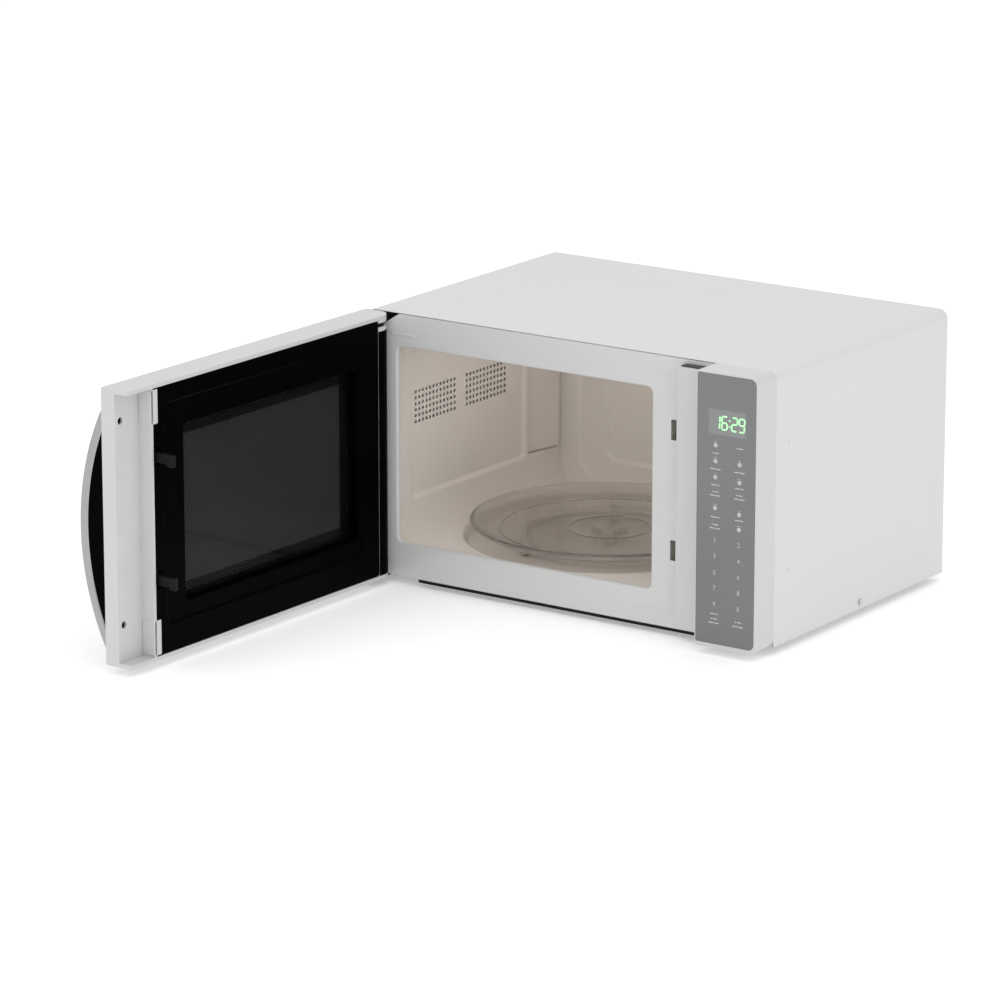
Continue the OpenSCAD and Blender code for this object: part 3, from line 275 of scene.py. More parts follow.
# %% Plated, rolled and polished metals
def metal(name, colour, rough, stretch, relief_mm, spangle=0.0):
    finish = Finish(name, Metallic=1.0)
    grain = finish.noise(400.0, 3.0, stretch)
    broad = finish.noise(12.0, 3.0)
    crystals = finish.node(
        "ShaderNodeTexVoronoi", inputs={"Vector": finish.place(), "Scale": 90.0}, out="Distance"
    )
    finish.set("Base Color", finish.blend(crystals * spangle + broad * 0.5, darker(colour, 0.86), colour))
    finish.set("Roughness", rough + (grain - 0.5) * 0.12 + (broad - 0.5) * 0.06)
    finish.bump(grain, relief_mm)
    return finish.material


finishes |= {
    "zinc_steel": metal("zinc_steel", (0.60, 0.61, 0.62), 0.36, (1, 6, 1), 0.004, 0.8),
    "dark_steel": metal("dark_steel", (0.10, 0.10, 0.105), 0.38, (1, 1, 6), 0.006),
    "aluminium": metal("aluminium", (0.78, 0.78, 0.79), 0.30, (1, 8, 1), 0.004),
    "copper": metal("copper", (0.72, 0.30, 0.14), 0.34, (1, 1, 30), 0.03),
    "chrome": metal("chrome", (0.40, 0.405, 0.415), 0.10, (1, 1, 0.05), 0.0005),
}

# %% [markdown]
# ## Glass, mirror and lamp
#
# The tray and the lamp are clear glass. The control panel and the door front are tinted mirror: a
# thin metal layer behind glass, which shows its surroundings dimmed. A metallic grey with a very
# smooth coat gives that. Pressed glass is never quite even, so the clear one has a slow, weak bump.

# %% Clear, mirrored and film finishes
MIRROR_TINT, MIRROR_SHINE = (0.155, 0.158, 0.16), 0.92


def clear(name, colour, rough, ior=1.5, ripple_mm=0.0, alpha=1.0):
    finish = Finish(name, Transmission_Weight=1.0, IOR=ior)
    wave = finish.noise(60.0, 2.0)
    finish.set("Base Color", finish.blend(wave, darker(colour, 0.985), colour))
    finish.set("Roughness", rough + wave * 0.02)
    finish.set("Alpha", alpha)
    if ripple_mm:
        finish.bump(wave, ripple_mm)
    return finish.material


def within(along, up, middle, half):
    """1 inside an upright rectangle, given by its middle and half sizes, and 0 outside it."""
    return (abs(along - middle[0]) < half[0]) * (abs(up - middle[1]) < half[1])


def mirrored(name, turn=0.0, window=None):
    finish = Finish(name, Coat_Weight=1.0, Coat_Roughness=0.02, Coat_IOR=1.5)
    broad = finish.noise(9.0, 3.0)
    tint = finish.blend(broad, darker(MIRROR_TINT, 0.96), darker(MIRROR_TINT, 1.04))
    shine = MIRROR_SHINE
    if window:
        along, _, up = finish.axes(finish.place(turn))
        inside = within(along, up, *window)
        tint = finish.blend(inside, tint, (0.012, 0.012, 0.013))
        shine = MIRROR_SHINE - inside * 0.9
    finish.set("Base Color", tint)
    finish.set("Metallic", shine)
    finish.set("Roughness", 0.10 + broad * 0.05)
    return finish.material


finishes |= {
    "tray_glass": clear("tray_glass", (0.84, 0.83, 0.81), 0.0, 1.47, 0.02, alpha=0.85),
    "lamp_glass": clear("lamp_glass", (0.98, 0.96, 0.92), 0.02),
    "window_film": clear("window_film", (0.93, 0.93, 0.94), 0.01, 1.12),
    "mirror_glass": mirrored("mirror_glass"),
}

# %% [markdown]
# ## The door screen
#
# A steel sheet full of small holes stops the microwaves and still lets light through. The holes are
# in staggered rows, a millimetre and a half apart along each row. That is far too many to model, so the
# sheet's colour carries them, and each hole is painted light grey: painted light for the daylight seen
# through it. The window is the bare part, and black paint covers the sheet round it.
# The pattern lies along the door, so its coordinates are turned by the angle the door stands open.

# %% The screen and the door glass
film_lo, film_hi = extent("inner_film", DOOR)
FILM_GAP, WINDOW_LIP = 0.5, 14.0
WINDOW_LO = Vector((film_lo.x - FILM_GAP + WINDOW_LIP, 0, film_lo.z - FILM_GAP + WINDOW_LIP))
WINDOW_HI = Vector((film_hi.x + FILM_GAP - WINDOW_LIP, 0, film_hi.z + FILM_GAP - WINDOW_LIP))


def along_door(spot_mm):
    """A spot on the door in metres, in axes that turn with the door: X along it and Z up."""
    spot = Matrix.Rotation(OPEN_ANGLE, 4, "Z") @ (DOOR @ Vector(spot_mm))
    return spot.x, spot.z


low, high = along_door(WINDOW_LO), along_door(WINDOW_HI)
window_middle = [(a + b) / 2 for a, b in zip(low, high)]
window_half = [abs(b - a) / 2 for a, b in zip(low, high)]

HOLE_PITCH = 1.5


def perforated(name):
    finish = Finish(name, Metallic=0.0, Specular_IOR_Level=0.05)
    along, _, up = finish.axes(finish.place(OPEN_ANGLE))
    inside = within(along, up, window_middle, window_half)
    turns = 2 * pi / (HOLE_PITCH * MM)
    hole = (along * turns).sine() * (up * turns).sine() > 0.12
    broad = finish.noise(14.0, 3.0)
    # Painted light: the holes are light grey for the daylight seen through them, and the sheet between them
    # is near black.
    sheet = finish.blend(hole, (0.011, 0.011, 0.011), (0.072, 0.071, 0.068))
    finish.set("Base Color", finish.blend(inside, (0.0055, 0.005, 0.005), sheet))
    finish.set("Roughness", 0.5 + (broad - 0.5) * 0.2)
    finish.bump(hole * -1.0, 0.05)
    return finish.material


finishes["screen_paint"] = perforated("screen_paint")
finishes["door_glass"] = mirrored("door_glass", OPEN_ANGLE, (window_middle, window_half))

# %% [markdown]
# ## Prints and the lit display
#
# The panel's symbols are thin light ink on the mirror, and the clock's figures glow green. The ink
# is a soft grey white. The glow is an emission colour that varies slightly, as a real tube's does.

# %% Ink and lit figures
finishes["ink"] = coated("ink", (0.50, 0.51, 0.52), 0.5, 0.4, 0.004, 0.05)
finishes["smoked_window"] = coated("smoked_window", (0.22, 0.225, 0.225), 0.12, 4.0, 0.001, 0.04, 0.5)
glow = Finish("lit_green", Emission_Strength=1.0, Roughness=0.4)
glow.set("Base Color", (0.25, 0.6, 0.25))
glow.set("Emission Color", glow.blend(glow.noise(300.0), (0.30, 0.98, 0.34), (0.52, 1.0, 0.50)))
finishes["lit_green"] = glow.material

# %% [markdown]
# ## Finishes on the CAD nodes
#
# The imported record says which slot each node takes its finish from, so one loop dresses them all.
# Pieces that are remade below get the same finishes later.

# %% Dress every CAD node
node_slot = {part["node"]: part["material_slot"] for part in frame["record"]["subparts"]}
for node, obj in frame["nodes"].items():
    obj.data.materials.clear()
    obj.data.materials.append(finishes[node_slot[node]])
print(len(node_slot), "nodes dressed from", len(set(node_slot.values())), "slots")

# %% [markdown]
# ## Tools for sheet and moulded pieces
#
# Most of an oven is flat sheet with rounded outlines, pressed in steps. So the basic tool is a flat
# face with rounded corners, and the next one works it inwards in bands: each band is an inset and a
# rise, as a press tool or a mould would form it. Filling a sheet round several such faces gives
# slots, beads and embossed panels without any boolean cuts.

# %% Flat faces with rounded corners
SPOTS = {
    "front": lambda u, v, h: Vector((u, h, v)),  # faces -Y
    "side": lambda u, v, h: Vector((h, u, v)),  # faces +X
    "top": lambda u, v, h: Vector((u, v, h)),  # faces +Z
}


def flat(bm, plane, points, radii=0.0, at=0.0, steps=5):
    """A flat face through points given as pairs, with its corners rounded by one radius or one each."""
    before = set(bm.faces)
    corners = [bm.verts.new(SPOTS[plane](u, v, at)) for u, v in points]
    bm.faces.new(corners)
    if not isinstance(radii, (list, tuple)):
        radii = [radii] * len(corners)
    for corner, radius in zip(corners, radii):
        if radius:
            bmesh.ops.bevel(
                bm, geom=[corner], offset=radius, offset_type="OFFSET", affect="VERTICES",
                segments=steps, profile=0.5, material=-1,
            )
    (face,) = [f for f in bm.faces if f not in before]
    face.normal_update()
    return face


def oblong(bm, plane, lo, hi, radii=0.0, at=0.0, steps=5):
    """A flat rectangle from lo to hi with rounded corners: lower left first, then anticlockwise."""
    points = [(lo[0], lo[1]), (hi[0], lo[1]), (hi[0], hi[1]), (lo[0], hi[1])]
    return flat(bm, plane, points, radii, at, steps)


def disc(bm, plane, centre, radius, at=0.0, sides=12):
    """A flat round face."""
    quarter = pi / 2
    turn = {
        "front": Matrix.Rotation(quarter, 4, "X"), "side": Matrix.Rotation(quarter, 4, "Y"), "top": Matrix(),
    }
    spot = Matrix.Translation(SPOTS[plane](*centre, at)) @ turn[plane]
    made = bmesh.ops.create_circle(bm, cap_ends=True, segments=sides, radius=radius, matrix=spot)
    face = made["verts"][0].link_faces[0]
    face.normal_update()
    return face


def press(bm, face, bands):
    """Works a face inwards: each (inset, rise) adds a band round it and moves it along its normal."""
    for inset, rise in bands:
        bmesh.ops.inset_region(
            bm, faces=[face], thickness=max(inset, 0.0005), use_boundary=True, use_even_offset=True
        )
        if rise:
            bmesh.ops.translate(bm, verts=face.verts, vec=face.normal * rise)
    return face


# %% Sheets with islands, and closed mouldings
def open_up(bm, face, islands):
    """Refills a flat face round islands that lie in it. The islands stay as faces of their own."""
    towards = face.normal.copy()
    for island in islands:
        if island.normal.dot(towards) < 0:
            island.normal_flip()
    edges = list({e for f in [face, *islands] for e in f.edges})
    bmesh.ops.delete(bm, geom=[face], context="FACES_ONLY")
    filled = bmesh.ops.triangle_fill(bm, use_beauty=True, use_dissolve=False, edges=edges, normal=towards)
    made = [g for g in filled["geom"] if isinstance(g, bmesh.types.BMFace)]
    for f in made:
        f.normal_update()
        if f.normal.dot(towards) < 0:
            f.normal_flip()
    return islands


def cut_away(bm, faces):
    bmesh.ops.delete(bm, geom=list(faces), context="FACES_ONLY")


def backed(bm, face):
    """Leaves a copy of the face behind as the back of a closed moulding."""
    made = bmesh.ops.duplicate(bm, geom=[*face.verts, *face.edges, face])["geom"]
    back = next(g for g in made if isinstance(g, bmesh.types.BMFace))
    back.normal_flip()
    return back


SOFT_EDGE = [(0.15, 0.45), (0.35, 0.30), (0.45, 0.15)]


def mould(bm, plane, lo, hi, radii, at, height, edge=SOFT_EDGE, steps=5):
    """A closed block raised from a rounded outline, with soft front edges. Returns its front face."""
    face = oblong(bm, plane, lo, hi, radii, at, steps)
    backed(bm, face)
    return press(bm, face, [(0, height - sum(r for _, r in edge)), *edge])


# %% [markdown]
# ## From a working mesh to a finished piece
#
# A piece is drawn in millimetres, so its last steps are always the same. Doubles are merged, normals
# are turned outwards, the mesh goes to its place in metres, and only real corners stay sharp. Weighted
# normals then keep wide flat faces evenly lit beside small curved ones. Last, the piece rides on its
# CAD body, and the CAD nodes it replaces are hidden.

# %% Finish a piece
def finish_piece(
    bm, name, place, body, slot, replaces=(), sheet_mm=0.0, closed=True, sharp=34.0, finish=None
):
    """Cleans a working mesh, puts it in its place in metres, dresses it and seats it on its body."""
    bmesh.ops.remove_doubles(bm, verts=bm.verts, dist=0.002)
    bmesh.ops.dissolve_degenerate(bm, edges=bm.edges, dist=0.0005)
    if closed:
        bmesh.ops.recalc_face_normals(bm, faces=bm.faces)
    bm.transform(place)
    mesh = bpy.data.meshes.new(name)
    bm.to_mesh(mesh)
    bm.free()
    mesh.shade_smooth()
    mesh.set_sharp_from_angle(angle=radians(sharp))
    mesh.materials.append(finishes[finish or slot])
    piece = bpy.data.objects.new(name, mesh)
    bpy.context.scene.collection.objects.link(piece)
    if sheet_mm:
        wall = piece.modifiers.new("sheet", "SOLIDIFY")
        wall.thickness, wall.offset = sheet_mm * MM, -1.0
    even = piece.modifiers.new("even_shading", "WEIGHTED_NORMAL")
    even.keep_sharp = True
    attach(piece, body)
    if replaces:
        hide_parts(*replaces)
    print(name, len(mesh.polygons), "faces")
    return piece


# %% [markdown]
# ## The cabinet wrap
#
# One steel sheet is bent over the oven as a left side, a top and a right side. Wide shallow panels
# are embossed in it so that it doesn't drum. Each flat part is a sheet with one island, which is
# pressed in by a millimetre, and the two bends are spun. The left half is the right half mirrored.

# %% Outer case with embossed panels
CORNER = 10.0
EMBOSS = [(1.5, -0.12), (2.5, -0.43), (2.5, -0.43), (1.5, -0.12)]
SIDE_PANEL = (54, 24), (310, 232)
TOP_PANEL = (46, 56), (430, 280)
DIMPLE_SPOTS, DIMPLE_R = ((23.4, 199.8), (24.2, 73.2)), 2.1
W, D, H = case_hi.x, case_hi.y, case_hi.z

bm = bmesh.new()
side = oblong(bm, "side", (0, 0), (D, H - CORNER), at=W)
panel = oblong(bm, "side", *SIDE_PANEL, 26, at=W, steps=8)
dimples = [disc(bm, "side", spot, DIMPLE_R, at=W) for spot in DIMPLE_SPOTS]
open_up(bm, side, [panel, *dimples])
press(bm, panel, EMBOSS)
for dimple in dimples:
    press(bm, dimple, [(0.5, -0.5), (0.6, -0.3)])
start = [bm.verts.new((W, y, H - CORNER)) for y in (0, D)]
bend = bm.edges.new(start)
bmesh.ops.spin(
    bm, geom=[*start, bend], cent=(W - CORNER, 0, H - CORNER), axis=(0, -1, 0), angle=pi / 2, steps=8,
    use_merge=False, use_duplicate=False,
)
half = bmesh.ops.duplicate(bm, geom=[*bm.verts, *bm.edges, *bm.faces])["geom"]
other = [g for g in half if isinstance(g, bmesh.types.BMVert)]
bmesh.ops.scale(bm, vec=(-1, 1, 1), verts=other)
bmesh.ops.translate(bm, vec=(W, 0, 0), verts=other)
top = oblong(bm, "top", (CORNER, 0), (W - CORNER, D), at=H)
crown = oblong(bm, "top", *TOP_PANEL, 32, at=H, steps=8)
open_up(bm, top, [crown])
press(bm, crown, EMBOSS)
bmesh.ops.remove_doubles(bm, verts=bm.verts, dist=0.002)
bmesh.ops.recalc_face_normals(bm, faces=bm.faces)
if crown.normal.z < 0:
    bmesh.ops.reverse_faces(bm, faces=bm.faces)
finish_piece(bm, "cabinet_wrap", CASE, "cabinet", "case_paint", ["outer_case"], sheet_mm=0.8, closed=False)

# %% [markdown]
# ## The front plate
#
# The plate behind the door is a flat sheet with the cavity's opening, two latch slots, stiffening
# beads at its corners and a row of spot-weld marks round the opening. All of them are islands in the
# sheet. The opening's edge is rolled inwards, which the last bands do before its face is cut away.

# %% Front plate with rolled opening, beads and weld marks
plate_lo, plate_hi = extent("front_plate")
fascia_lo, fascia_hi = extent("mirror_fascia")
housing_lo, housing_hi = extent("control_panel_housing")
OPENING_LO, OPENING_HI, OPENING_R = (37.5, 35.5), (341.5, 238.5), 7.0
HINGE_CUT_Z = H - 12.5
LATCH_Z, SLOT_X, SLOT_HALF = (78.5, 199.5), (363.5, 375.5), 10.5
BEAD = [(0.35, 0.2), (0.35, 0.3), (0.25, 0.08)]
BEAD_X, UPPER_BEAD_Z, LOWER_BEAD_Z = (361.6, 364.6), (257.6, 260.6), (14.6, 17.6)
BEAD_R, ELBOW_R, INNER_ELBOW_R = 1.2, 4, 1.5
WELD_PITCH, WELD_R = 9.4, 0.75

bm = bmesh.new()
plate = flat(
    bm, "front",
    [(plate_lo.x, plate_lo.z), (plate_hi.x, plate_lo.z), (plate_hi.x, plate_hi.z), (40.5, plate_hi.z),
     (22.0, HINGE_CUT_Z), (plate_lo.x, HINGE_CUT_Z)],
    [0, 0, 8.8, 0, 0, 0],
)
roll = 2.0
mouth = oblong(
    bm, "front", [c - roll for c in OPENING_LO], [c + roll for c in OPENING_HI], OPENING_R + roll, steps=6
)
slots = [oblong(bm, "front", (SLOT_X[0], z - SLOT_HALF), (SLOT_X[1], z + SLOT_HALF), 1.2) for z in LATCH_Z]
(x0, x1), (z0, z1) = BEAD_X, UPPER_BEAD_Z
upper_elbow = flat(
    bm, "front", [(320, z0), (x0, z0), (x0, 231), (x1, 231), (x1, z1), (320, z1)],
    [BEAD_R, INNER_ELBOW_R, BEAD_R, BEAD_R, ELBOW_R, BEAD_R],
)
z0, z1 = LOWER_BEAD_Z
lower_elbow = flat(
    bm, "front", [(322, z0), (x1, z0), (x1, 45), (x0, 45), (x0, z1), (322, z1)],
    [BEAD_R, ELBOW_R, BEAD_R, BEAD_R, INNER_ELBOW_R, BEAD_R],
)
beads = [
    upper_elbow, lower_elbow,
    oblong(bm, "front", (30, 249.5), (60, 252.5), 1.3),
    oblong(bm, "front", (30, z0), (59.5, z1), 1.3),
]
weld_spots = [(45 + WELD_PITCH * i, z) for i in range(31) for z in (29.5, 244.5)]
weld_spots += [(x, 40 + WELD_PITCH * i) for i in range(22) for x in (30.5, 348.5)]
welds = [disc(bm, "front", spot, WELD_R, sides=6) for spot in weld_spots]
open_up(bm, plate, [mouth, *slots, *beads, *welds])
press(bm, mouth, [(0.8, -0.15), (0.7, -0.55), (0.5, -1.3), (0, -3)])
for bead in beads:
    press(bm, bead, BEAD)
for weld in welds:
    press(bm, weld, [(0.35, -0.22)])
for slot in slots:
    press(bm, slot, [(0.3, -0.3), (0, -1.2)])
cut_away(bm, [mouth, *slots])
finish_piece(bm, "front_frame", CASE, "cabinet", "front_paint", ["front_plate"], sheet_mm=0.5, closed=False)

# A black strip below the front plate, drawn as a folded lip, is painted shade: it stands for the dark gap
# under the cabinet.
bm = bmesh.new()
mould(bm, "front", (62, -3.4), (408, 0.9), 1.2, 6.0, 5.6, [(0.3, 0.3)])
finish_piece(bm, "shade_strip_under_front", CASE, "cabinet", "black_matte")

# %% [markdown]
# ## The cavity
#
# The cavity is a box of enamelled sheet. Its side walls carry a pressed panel with the vent holes and
# a second recess that turns the back corner, and below that they flare out into the floor. The flare
# is made last: the sheet is cut at a few heights with bisect_plane and each cut is moved inwards
# along a quarter round. Each vent hole has six sides, because there are about two hundred of them.

# %% Side walls of the cavity
left_lo, left_hi = extent("cavity_left_wall")
floor_lo, floor_hi = extent("cavity_floor")
CAVITY_LEFT, CAVITY_RIGHT = left_hi.x, extent("cavity_right_wall")[0].x
CAVITY_BACK = extent("cavity_back_wall")[0].y
FLOOR_Z, CEILING_Z = floor_hi.z, extent("cavity_ceiling")[0].z
SHOULDER, ENAMEL_T = 3.5, 0.4
FLARE_TOP, FLARE_REACH = 70.0, 13.5
VENT_PANEL = (42, 67), (249, 239)
CORNER_RECESS = (252.5, 67), (309, 239)
RECESS_FOLD_Y, RECESS_SLOPE = 256, 0.19


def vent_grid(bm, y0, z0, columns, rows, pitch, radius, at):
    """Draws a grid of six-sided hole faces in the plane of a flat side panel."""
    return [
        disc(bm, "side", (y0 + i * pitch, z0 + k * pitch), radius, at=at, sides=6)
        for i in range(columns) for k in range(rows)
    ]


def flare(bm, axis, inward, top=FLARE_TOP, foot=FLOOR_Z, reach=FLARE_REACH, cuts=7):
    """Turns the foot of a wall inwards along a quarter round."""
    for i in range(1, cuts + 1):
        z = top + (foot - top) * sin(i / (cuts + 1) * pi / 2)
        bmesh.ops.bisect_plane(
            bm, geom=[*bm.verts, *bm.edges, *bm.faces], plane_co=(0, 0, z), plane_no=(0, 0, 1), dist=0.001
        )
    for v in bm.verts:
        if v.co.z < top:
            share = (top - v.co.z) / (top - foot)
            v.co[axis] += inward * reach * (1 - (1 - share**2.2) ** 0.5)


def side_wall(name, node, at, grids, flip=False):
    bm = bmesh.new()
    wall = oblong(bm, "side", (left_lo.y, FLOOR_Z), (CAVITY_BACK, CEILING_Z), at=at + SHOULDER)
    panel = oblong(bm, "side", *VENT_PANEL, (8, 8, 8, 36), at=at + SHOULDER, steps=7)
    corner = oblong(bm, "side", *CORNER_RECESS, 7, at=at + SHOULDER, steps=6)
    open_up(bm, wall, [panel, corner])
    press(bm, panel, [(0.9, -0.3), (1.6, -1.3), (1.6, -1.5), (0.9, -0.4)])
    press(bm, corner, [(0.8, -0.6), (1.0, -2.2), (1.0, -2.4), (1.2, -0.8)])
    for v in corner.verts:
        v.co.x += (v.co.y - RECESS_FOLD_Y) * RECESS_SLOPE
    holes = [hole for grid in grids for hole in vent_grid(bm, *grid, at)]
    open_up(bm, panel, holes)
    for hole in holes:
        press(bm, hole, [(0.15, -0.5)])
    cut_away(bm, holes)
    flare(bm, 0, 1)
    if flip:
        bmesh.ops.scale(bm, vec=(-1, 1, 1), verts=bm.verts)
        bmesh.ops.translate(bm, vec=(2 * at + CAVITY_RIGHT - CAVITY_LEFT, 0, 0), verts=bm.verts)
        bmesh.ops.reverse_faces(bm, faces=bm.faces)
    finish_piece(bm, name, CASE, "cabinet", "cavity_enamel", [node], sheet_mm=ENAMEL_T, closed=False)


VENT_PITCH, VENT_R = 6.2, 2.05
side_wall("cavity_wall_left", "cavity_left_wall", CAVITY_LEFT, [
    (56, 146.5, 12, 6, VENT_PITCH, VENT_R), (146, 146.5, 12, 6, VENT_PITCH, VENT_R),
    (54, 226, 4, 2, VENT_PITCH, 1.3),
])
side_wall("cavity_wall_right", "cavity_right_wall", CAVITY_LEFT, [
    (62, 208, 6, 3, VENT_PITCH, 1.6), (100, 150, 4, 8, VENT_PITCH, VENT_R),
], flip=True)

# %% [markdown]
# ## Back wall and floor of the cavity
#
# The back wall is stepped twice, and the steps run down in round corners. The floor is dished for the
# roller ring, with a hole for the drive shaft. Both are sheets with nested islands.

# %% Back wall and floor
INNER_LEFT, INNER_RIGHT = CAVITY_LEFT + SHOULDER, CAVITY_RIGHT - SHOULDER
STEP_BACK = [(0.8, -0.3), (1.6, -1.3), (1.6, -1.4), (0.8, -0.4)]


def opposite(x):
    """The place as far from the cavity's right side as x is from its left side."""
    return CAVITY_LEFT + CAVITY_RIGHT - x


bm = bmesh.new()
wall = oblong(bm, "front", (INNER_LEFT, FLOOR_Z), (INNER_RIGHT, CEILING_Z), at=CAVITY_BACK)
outer = oblong(bm, "front", (45, 36), (opposite(45), 238), 30, at=CAVITY_BACK, steps=8)
open_up(bm, wall, [outer])
press(bm, outer, STEP_BACK)
inner_at = outer.verts[0].co.y
inner = oblong(bm, "front", (79, 58), (opposite(79), 232), 14, at=inner_at, steps=8)
open_up(bm, outer, [inner])
press(bm, inner, STEP_BACK)
flare(bm, 1, -1, top=50, reach=9.0, cuts=5)
finish_piece(
    bm, "cavity_wall_back", CASE, "cabinet", "cavity_enamel", ["cavity_back_wall"],
    sheet_mm=ENAMEL_T, closed=False,
)

tray_lo, tray_hi = extent("glass_tray")
TRAY_X, TRAY_Y = (tray_lo.x + tray_hi.x) / 2, (tray_lo.y + tray_hi.y) / 2
TRAY_R = (tray_hi.x - tray_lo.x) / 2
DISH_GAP, SHAFT_HOLE_R = 8.1, 6.0
DISH_DEPTH = FLOOR_Z - floor_lo.z - 0.8
bm = bmesh.new()
base = oblong(bm, "top", (INNER_LEFT, floor_lo.y), (INNER_RIGHT, CAVITY_BACK), at=FLOOR_Z)
dish = disc(bm, "top", (TRAY_X, TRAY_Y), TRAY_R + DISH_GAP, at=FLOOR_Z, sides=96)
open_up(bm, base, [dish])
press(bm, dish, [(0.8, -0.3), (2.4, -1.8), (3.2, -DISH_DEPTH + 4.0), (2.4, -1.5), (1.2, -0.4)])
shaft_hole = disc(bm, "top", (TRAY_X, TRAY_Y), SHAFT_HOLE_R, at=dish.verts[0].co.z, sides=24)
open_up(bm, dish, [shaft_hole])
press(bm, shaft_hole, [(0.2, -0.8)])
cut_away(bm, [shaft_hole])
finish_piece(
    bm, "cavity_floor_dish", CASE, "cabinet", "cavity_enamel", ["cavity_floor"],
    sheet_mm=ENAMEL_T, closed=False,
)

# %% [markdown]
# ## The control panel
#
# The panel is one white moulding with a soft front edge and a pocket for the mirror. Beside it a
# lower ledge fills the space that the door's thin free edge closes over. Each is a closed moulding,
# and the pocket is an island pressed into the panel's front face.

# %% Panel moulding, ledge and mirror
FRONT_Y = housing_lo.y
PANEL_X, BACK_Y = fascia_lo.x - 1.6, housing_hi.y
LEDGE_X, LEDGE_T, LEDGE_Z = housing_lo.x, 14.0, (6.0, H - 6.4)
PANEL_RADII, POCKET_RADII, MIRROR_RADII = (1.5, 7.6, 7.6, 1.5), (1.5, 6.2, 6.2, 1.5), (1.5, 6, 6, 1.5)
MIRROR_GAP, MIRROR_T = 0.2, fascia_hi.y - fascia_lo.y

bm = bmesh.new()
front = mould(bm, "front", (PANEL_X, 0), (W, H), PANEL_RADII, BACK_Y, BACK_Y - FRONT_Y)
pocket = oblong(
    bm, "front", (fascia_lo.x - MIRROR_GAP, fascia_lo.z - MIRROR_GAP),
    (fascia_hi.x + MIRROR_GAP, fascia_hi.z + MIRROR_GAP), POCKET_RADII, at=FRONT_Y,
)
open_up(bm, front, [pocket])
press(bm, pocket, [(0, -MIRROR_T)])
mould(bm, "front", (LEDGE_X, LEDGE_Z[0]), (PANEL_X + 0.3, LEDGE_Z[1]), (2, 0, 0, 2), BACK_Y, LEDGE_T + BACK_Y)
finish_piece(bm, "panel_moulding", CASE, "cabinet", "white_plastic", ["control_panel_housing"])

bm = bmesh.new()
mould(
    bm, "front", (fascia_lo.x, fascia_lo.z), (fascia_hi.x, fascia_hi.z), MIRROR_RADII, fascia_hi.y,
    MIRROR_T, [(0.05, 0.12), (0.12, 0.08)],
)
finish_piece(bm, "panel_mirror", CASE, "cabinet", "mirror_glass", ["mirror_fascia"])

# A small lug on top of the ledge, made of dark steel so that it also carries the shade of the gap above the
# ledge: painted shade.
bm = bmesh.new()
mould(
    bm, "front", (LEDGE_X + 2, LEDGE_Z[1] - 0.2), (LEDGE_X + 26, LEDGE_Z[1] + 1.4), 0.5,
    BACK_Y, 9.0, [(0.3, 0.3)],
)
finish_piece(bm, "ledge_lug_painted_shade", CASE, "cabinet", "dark_steel")

# %% [markdown]
# ## Display and symbols
#
# The display is a smoked field in the mirror with four seven-segment figures. A segment is a thin bar
# with pointed ends, so it is a flat face raised by a tenth of a millimetre. The key symbols are plain
# bars, rings and figures: the keys are touch areas behind the mirror, so they don't move.

# %% Seven-segment clock
PRINT_Y, PRINT_T = fascia_lo.y, 0.10
DISPLAY_LO, DISPLAY_HI = (428.3, 212.9), (470.2, 237.4)
LEAN, LEAN_FOOT_Z = 0.06, 218
SEGMENTS = {"1": "bc", "6": "acdefg", "2": "abged", "9": "abcdfg"}


def raised(bm, face, height):
    backed(bm, face)
    return press(bm, face, [(0, height * 0.6), (height * 0.4, height * 0.4)])


def segment(bm, centre, length, upright, width=1.5):
    half, w = length / 2, width / 2
    shape = [(-half, 0), (-half + w, -w), (half - w, -w), (half, 0), (half - w, w), (-half + w, w)]
    if upright:
        shape = [(-v, u) for u, v in shape]
    spots = [(centre[0] + u + (centre[1] + v - LEAN_FOOT_Z) * LEAN, centre[1] + v) for u, v in shape]
    raised(bm, flat(bm, "front", spots, at=PRINT_Y - PRINT_T), PRINT_T)


def seven_segments(bm, figure, x, z, width=6.0, height=13.0):
    arm = height / 2
    seats = {
        "a": (width / 2, height, False), "g": (width / 2, arm, False), "d": (width / 2, 0, False),
        "f": (0, arm * 1.5, True), "b": (width, arm * 1.5, True),
        "e": (0, arm / 2, True), "c": (width, arm / 2, True),
    }
    for name in SEGMENTS[figure]:
        u, v, upright = seats[name]
        segment(bm, (x + u, z + v), (arm if upright else width) - 0.5, upright)


bm = bmesh.new()
raised(bm, oblong(bm, "front", DISPLAY_LO, DISPLAY_HI, 0.6, at=PRINT_Y), PRINT_T)
finish_piece(bm, "display_field", CASE, "cabinet", "mirror_glass", finish="smoked_window")

bm = bmesh.new()
for figure, x in (("1", 434.3), ("6", 442.8), ("2", 454.0), ("9", 462.2)):
    seven_segments(bm, figure, x, 218.4)
for z in (222.0, 228.0):
    raised(bm, disc(bm, "front", (451.8, z), 0.9, at=PRINT_Y - PRINT_T, sides=10), PRINT_T)
finish_piece(bm, "display_figures", CASE, "cabinet", "screen_paint", finish="lit_green")

# %% Key symbols and figures
LEFT_COLUMN, RIGHT_COLUMN = 436.4, 463.6
ICON_Z = {LEFT_COLUMN: (202.0, 186.2, 170.4, 139.9), RIGHT_COLUMN: (186.3, 168.6, 137.1, 122.3)}
BAR_Z = {
    LEFT_COLUMN: (194.1, 178.4, 162.6, 155.9, 152.3, 130.9, 123.4, 119.8, 34.4, 29.6, 25.4),
    RIGHT_COLUMN: (202.0, 178.5, 162.7, 156.0, 152.3, 131.2, 30.0, 25.6),
}
FIGURE_Z = {LEFT_COLUMN: (108.1, 92.3, 75.3, 60.0, 43.9), RIGHT_COLUMN: (106.5, 90.6, 74.8, 58.9, 42.9)}
FIGURES = {LEFT_COLUMN: "13579", RIGHT_COLUMN: "24680"}
BAR_HALF_T, BAR_GAP, RING_R = 0.55, 0.4, 2.3


def bar(bm, lo, hi):
    """A printed bar from its lower left corner to its upper right one."""
    raised(bm, oblong(bm, "front", lo, hi, at=PRINT_Y), PRINT_T)


